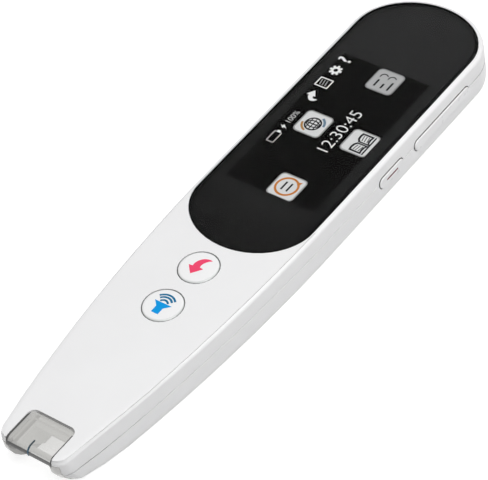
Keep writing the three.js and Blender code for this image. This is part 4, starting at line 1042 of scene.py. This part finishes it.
# Side keys: two moulded caps in their slots in the key-side wall, with a crowned face. A dark red
# stroke is printed on the shorter one.
key_slack = 0.2 * mm
key_end_slack = 0.1 * mm
key_depth = 1 * mm
key_middle_reach = 1 * mm
side_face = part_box("lower_housing")[1].x
key_gap_places = (side_face - 0.02 * mm, side_face + 0.05 * mm)
stroke_length = 4.3 * mm
stroke_width = 0.44 * mm
stroke_thickness = 0.04 * mm
stroke_round = 0.1 * mm
key_white = grained("key_white", white_shade, white_light, 0.28, spread=0.05, relief=0.002 * mm)
# Painted shade: the caps' flanks inside the slot are painted near black.
darkened_along(key_white, "X", *key_gap_places, gap_painted_shade)


def let_slack(piece):
    """Leaves a finer line of shadow open over the cap and at its nose-side end."""
    low, high = extent(piece)
    middle = (low + high) / 2
    for point in piece.data.vertices:
        if point.co.x > side_face - key_depth:
            if point.co.z > middle.z:
                point.co.z -= key_slack
            if point.co.y < middle.y - key_middle_reach:
                point.co.y += key_end_slack


for node, name in (("power_key", "power_cap"), ("volume_rocker", "rocker_cap")):
    cap = smooth_copy(node, name)
    let_slack(cap)
    face_weighted(cap)
    dress(cap, node + "_cap", "white_plastic", key_white, node)
power_low, power_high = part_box("power_key")
print_crimson = printed("print_crimson", (0.12, 0.008, 0.02, 1), (0.15, 0.01, 0.025, 1))
bpy.ops.mesh.primitive_cube_add(
    size=1,
    location=(power_high.x, (power_low.y + power_high.y) / 2, (power_low.z + power_high.z) / 2),
    scale=(stroke_thickness, stroke_length, stroke_width),
)
stroke = bpy.context.object
stroke.name = "power_stroke"
bpy.ops.object.transform_apply(location=True, rotation=True, scale=True)
rounding = stroke.modifiers.new("round_ends", "BEVEL")
rounding.width = stroke_round
rounding.segments = 3
bpy.ops.object.modifier_apply(modifier=rounding.name)
dress(stroke, "power_key_cap", "white_plastic", print_crimson)

# Nose tip: one clear smoked moulding, polished all over. Its window rolls down over the front
# edge, and two cheeks join it to the rounded feet that touch the page. Where light passes through
# more of the plastic, as in the feet and along the window's rims, it looks denser. The rims and
# the window's front lip are painted near black as painted shade, and the whole moulding is given
# a faint glow as painted light.
veil_shade = (0.23, 0.226, 0.218, 1)
veil_light = (0.27, 0.266, 0.256, 1)
veil_painted_shade = (0.03, 0.03, 0.029, 1)
# Painted light: how strongly the smoked plastic glows, though it is no lamp.
veil_glow = 0.28
far_foot_glow = 0.1
near_foot_glow = 0.17
dark_glow = 0.02
cheek_density = 0.7
window_density = 0.6
skirt_density = 0.85
far_foot_density = 0.9
near_foot_density = 0.92
edge_density = 0.95
smoke_soft = 0.06 * mm
smoked = grained(
    "smoked_clear", veil_shade, veil_light, 0.08, spread=0.04, relief=0,
    Emission_Color=(1, 0.99, 0.96, 1),
)
smoke_tree = smoked.node_tree
smoke_place = places(smoke_tree)


def smoke_box(**reaches):
    """One inside a box given in millimetres by its axes, else nothing, with a soft step."""
    steps = []
    for axis, (low, high) in reaches.items():
        for edge, soft in ((low * mm, smoke_soft), (high * mm, -smoke_soft)):
            steps.append(ramped(smoke_tree, smoke_place[axis], edge - soft, edge + soft))
    return joined(smoke_tree, "MULTIPLY", *steps)


def stepped(tree, value, *steps):
    """Takes the value to each step's own amount where the step's mask is one."""
    for amount, mask in steps:
        mix = tree.nodes.new("ShaderNodeMix")
        mix.inputs[3].default_value = amount
        if isinstance(value, float):
            mix.inputs[2].default_value = value
        else:
            tree.links.new(value, mix.inputs[2])
        tree.links.new(mask, mix.inputs[0])
        value = mix.outputs[0]
    return value


far_rim = smoke_box(X=(-6.5, -5.75))
near_rim = smoke_box(X=(6.08, 6.5))
back_rim = smoke_box(Y=(-70, -68.9))
rims = joined(smoke_tree, "MAXIMUM", far_rim, near_rim, back_rim)
rims = joined(smoke_tree, "MULTIPLY", rims, smoke_box(Z=(10.3, 12)))
lip = smoke_box(X=(-6.4, 6.3), Y=(-80, -77.5), Z=(8.9, 10.5))
painted_dark = joined(smoke_tree, "MAXIMUM", rims, lip)
window = smoke_box(Z=(9.02, 12))
skirt = smoke_box(Y=(-77.2, -60), Z=(9.02, 10.28))
far_foot = smoke_box(X=(-9, 0), Z=(-1, 8.9))
near_foot = smoke_box(X=(0, 9), Z=(-1, 8.9))
near_post = smoke_box(X=(6.3, 9), Z=(8.8, 10.2))
near_foot = joined(smoke_tree, "MAXIMUM", near_foot, near_post)
facing = smoke_tree.nodes.new("ShaderNodeNewGeometry")
density = stepped(
    smoke_tree, cheek_density, (window_density, window), (skirt_density, skirt),
    (far_foot_density, far_foot), (near_foot_density, near_foot), (edge_density, painted_dark),
    (0.0, facing.outputs["Backfacing"]),
)
# Painted light: the smoked plastic glows faintly of its own, least on its painted dark rims and
# lip.
glow = stepped(
    smoke_tree, veil_glow, (far_foot_glow, far_foot), (near_foot_glow, near_foot),
    (dark_glow, painted_dark),
)
smoke_shader = smoke_tree.nodes["Principled BSDF"]
smoke_tree.links.new(density, smoke_shader.inputs["Alpha"])
smoke_tree.links.new(glow, smoke_shader.inputs["Emission Strength"])
# Painted shade: the window's rims and front lip are painted near black.
lay_over(smoked, painted_dark, veil_painted_shade)
tip = smooth_copy("nose_tip", "smoked_tip")
dress(tip, "scanning_tip", "smoked_plastic", smoked, "nose_tip")

# Guide line: a fine dark line printed down the middle of the window's front, to steer by. It
# follows the window's roll and turns a little bluer on its way down.
guide_dark = (0.02, 0.035, 0.045, 1)
guide_dark_levels = (11.34 * mm, 10.4 * mm)
guide_width = 0.45 * mm
guide_proud = 0.02 * mm
guide_start = -76.1 * mm
guide_foot = 0.5 * mm
guide_steps = 24
guide_smooth_angle = math.radians(40)
window_roll = 1.6 * mm
guide_teal = grained("guide_teal", (0.015, 0.08, 0.14, 1), (0.02, 0.10, 0.17, 1), 0.4)
darkened_along(guide_teal, "Z", *guide_dark_levels, guide_dark)
tip_low, tip_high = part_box("nose_tip")
bpy.ops.mesh.primitive_grid_add(x_subdivisions=2, y_subdivisions=guide_steps, size=2)
guide = bpy.context.object
guide.name = "guide_line"
flat_run = guide_start - (tip_low.y + window_roll)
roll_run = window_roll * math.pi / 2
guide_reach = window_roll + guide_proud
for point in guide.data.vertices:
    run = (1 - point.co.y) / 2 * (flat_run + roll_run + guide_foot)
    turn = min(max(run - flat_run, 0) / window_roll, math.pi / 2)
    point.co.x *= guide_width / 2
    point.co.y = guide_start - min(run, flat_run) - guide_reach * math.sin(turn)
    point.co.z = tip_high.z - window_roll + guide_reach * math.cos(turn)
    point.co.z -= max(run - flat_run - roll_run, 0)
make_only(guide)
bpy.ops.object.shade_smooth_by_angle(angle=guide_smooth_angle)
dress(guide, "scanning_tip", "smoked_plastic", guide_teal)

# Scan chamber: the light grey moulded box behind the mouth. It keeps stray light off the page and
# carries the lamps and the camera. Its grey is given a faint glow of its own, as painted light.
chamber_edge = 0.05 * mm
# Painted light: the chamber glows faintly, though it is no lamp.
chamber_grey = grained(
    "chamber_grey", (0.42, 0.42, 0.41, 1), (0.46, 0.46, 0.45, 1), 0.6, broad=150,
    Specular_IOR_Level=0.2, Emission_Color=(1, 1, 0.97, 1), Emission_Strength=0.27,
)
chamber = smooth_copy("scan_chamber", "light_box", chamber_edge)
dress(chamber, "case", "grey_plastic", chamber_grey, "scan_chamber")

# Parts inside: boards, switches, screws, battery, loudspeaker and camera, all hidden by the case.
# They keep their solids, and each gets the finish of its own material.
board_green = grained(
    "board_green", (0.008, 0.07, 0.03, 1), (0.02, 0.14, 0.06, 1), 0.35, fine=3000, broad=900
)
steel_grey = grained(
    "steel_grey", (0.42, 0.43, 0.45, 1), (0.60, 0.61, 0.63, 1), 0.32, Metallic=1, fine=4000,
    stretch=(1, 0.04, 1),
)
bright_nickel = grained(
    "bright_nickel", (0.60, 0.61, 0.62, 1), (0.72, 0.72, 0.73, 1), 0.22, Metallic=1
)
black_moulding = grained(
    "black_moulding", (0.012, 0.012, 0.013, 1), (0.022, 0.022, 0.024, 1), 0.55
)
epoxy_black = grained(
    "epoxy_black", (0.010, 0.010, 0.011, 1), (0.018, 0.018, 0.019, 1), 0.6, fine=9000
)
amber_film = grained(
    "amber_film", (0.30, 0.10, 0.012, 1), (0.5, 0.2, 0.03, 1), 0.3, stretch=(1, 0.02, 1), broad=900
)
foil_grey = grained(
    "foil_grey", (0.36, 0.38, 0.40, 1), (0.5, 0.52, 0.55, 1), 0.4, Metallic=1, relief=0.02 * mm,
    fine=600,
)
foam_black = grained("foam_black", grey(0.012), grey(0.03), 0.95, relief=0.04 * mm, fine=3500)
phosphor = grained("phosphor", (0.72, 0.62, 0.22, 1), (0.85, 0.78, 0.38, 1), 0.4)
coated_lens = grained(
    "coated_lens", (0.02, 0.03, 0.06, 1), (0.03, 0.05, 0.08, 1), 0.05, spread=0.02, relief=0
)
inner_finishes = {
    board_green: ("main_board", "side_key_board", "led_board", "sensor_board", "charge_board"),
    steel_grey: (
        "speak_switch", "back_switch", "processor_shield", "power_switch", "volume_down_switch",
        "volume_up_switch", "tip_switch",
    ),
    bright_nickel: (
        "board_screw_1", "board_screw_2", "board_screw_3", "board_screw_4", "rocker_pin",
        "tip_spring", "charge_board_screw_1", "charge_board_screw_2", "charge_socket",
    ),
    black_moulding: (
        "display_connector", "battery_plug", "camera_holder", "lens_barrel", "loudspeaker",
    ),
    epoxy_black: ("memory_chip", "image_sensor"),
    amber_film: ("display_flex", "link_flex"),
    foil_grey: ("battery",),
    foam_black: ("battery_lead", "speaker_gasket"),
    phosphor: ("scan_led_left", "scan_led_right"),
    coated_lens: ("camera_lens",),
}
for finish, names in inner_finishes.items():
    for name in names:
        coat(nodes[name], finish)
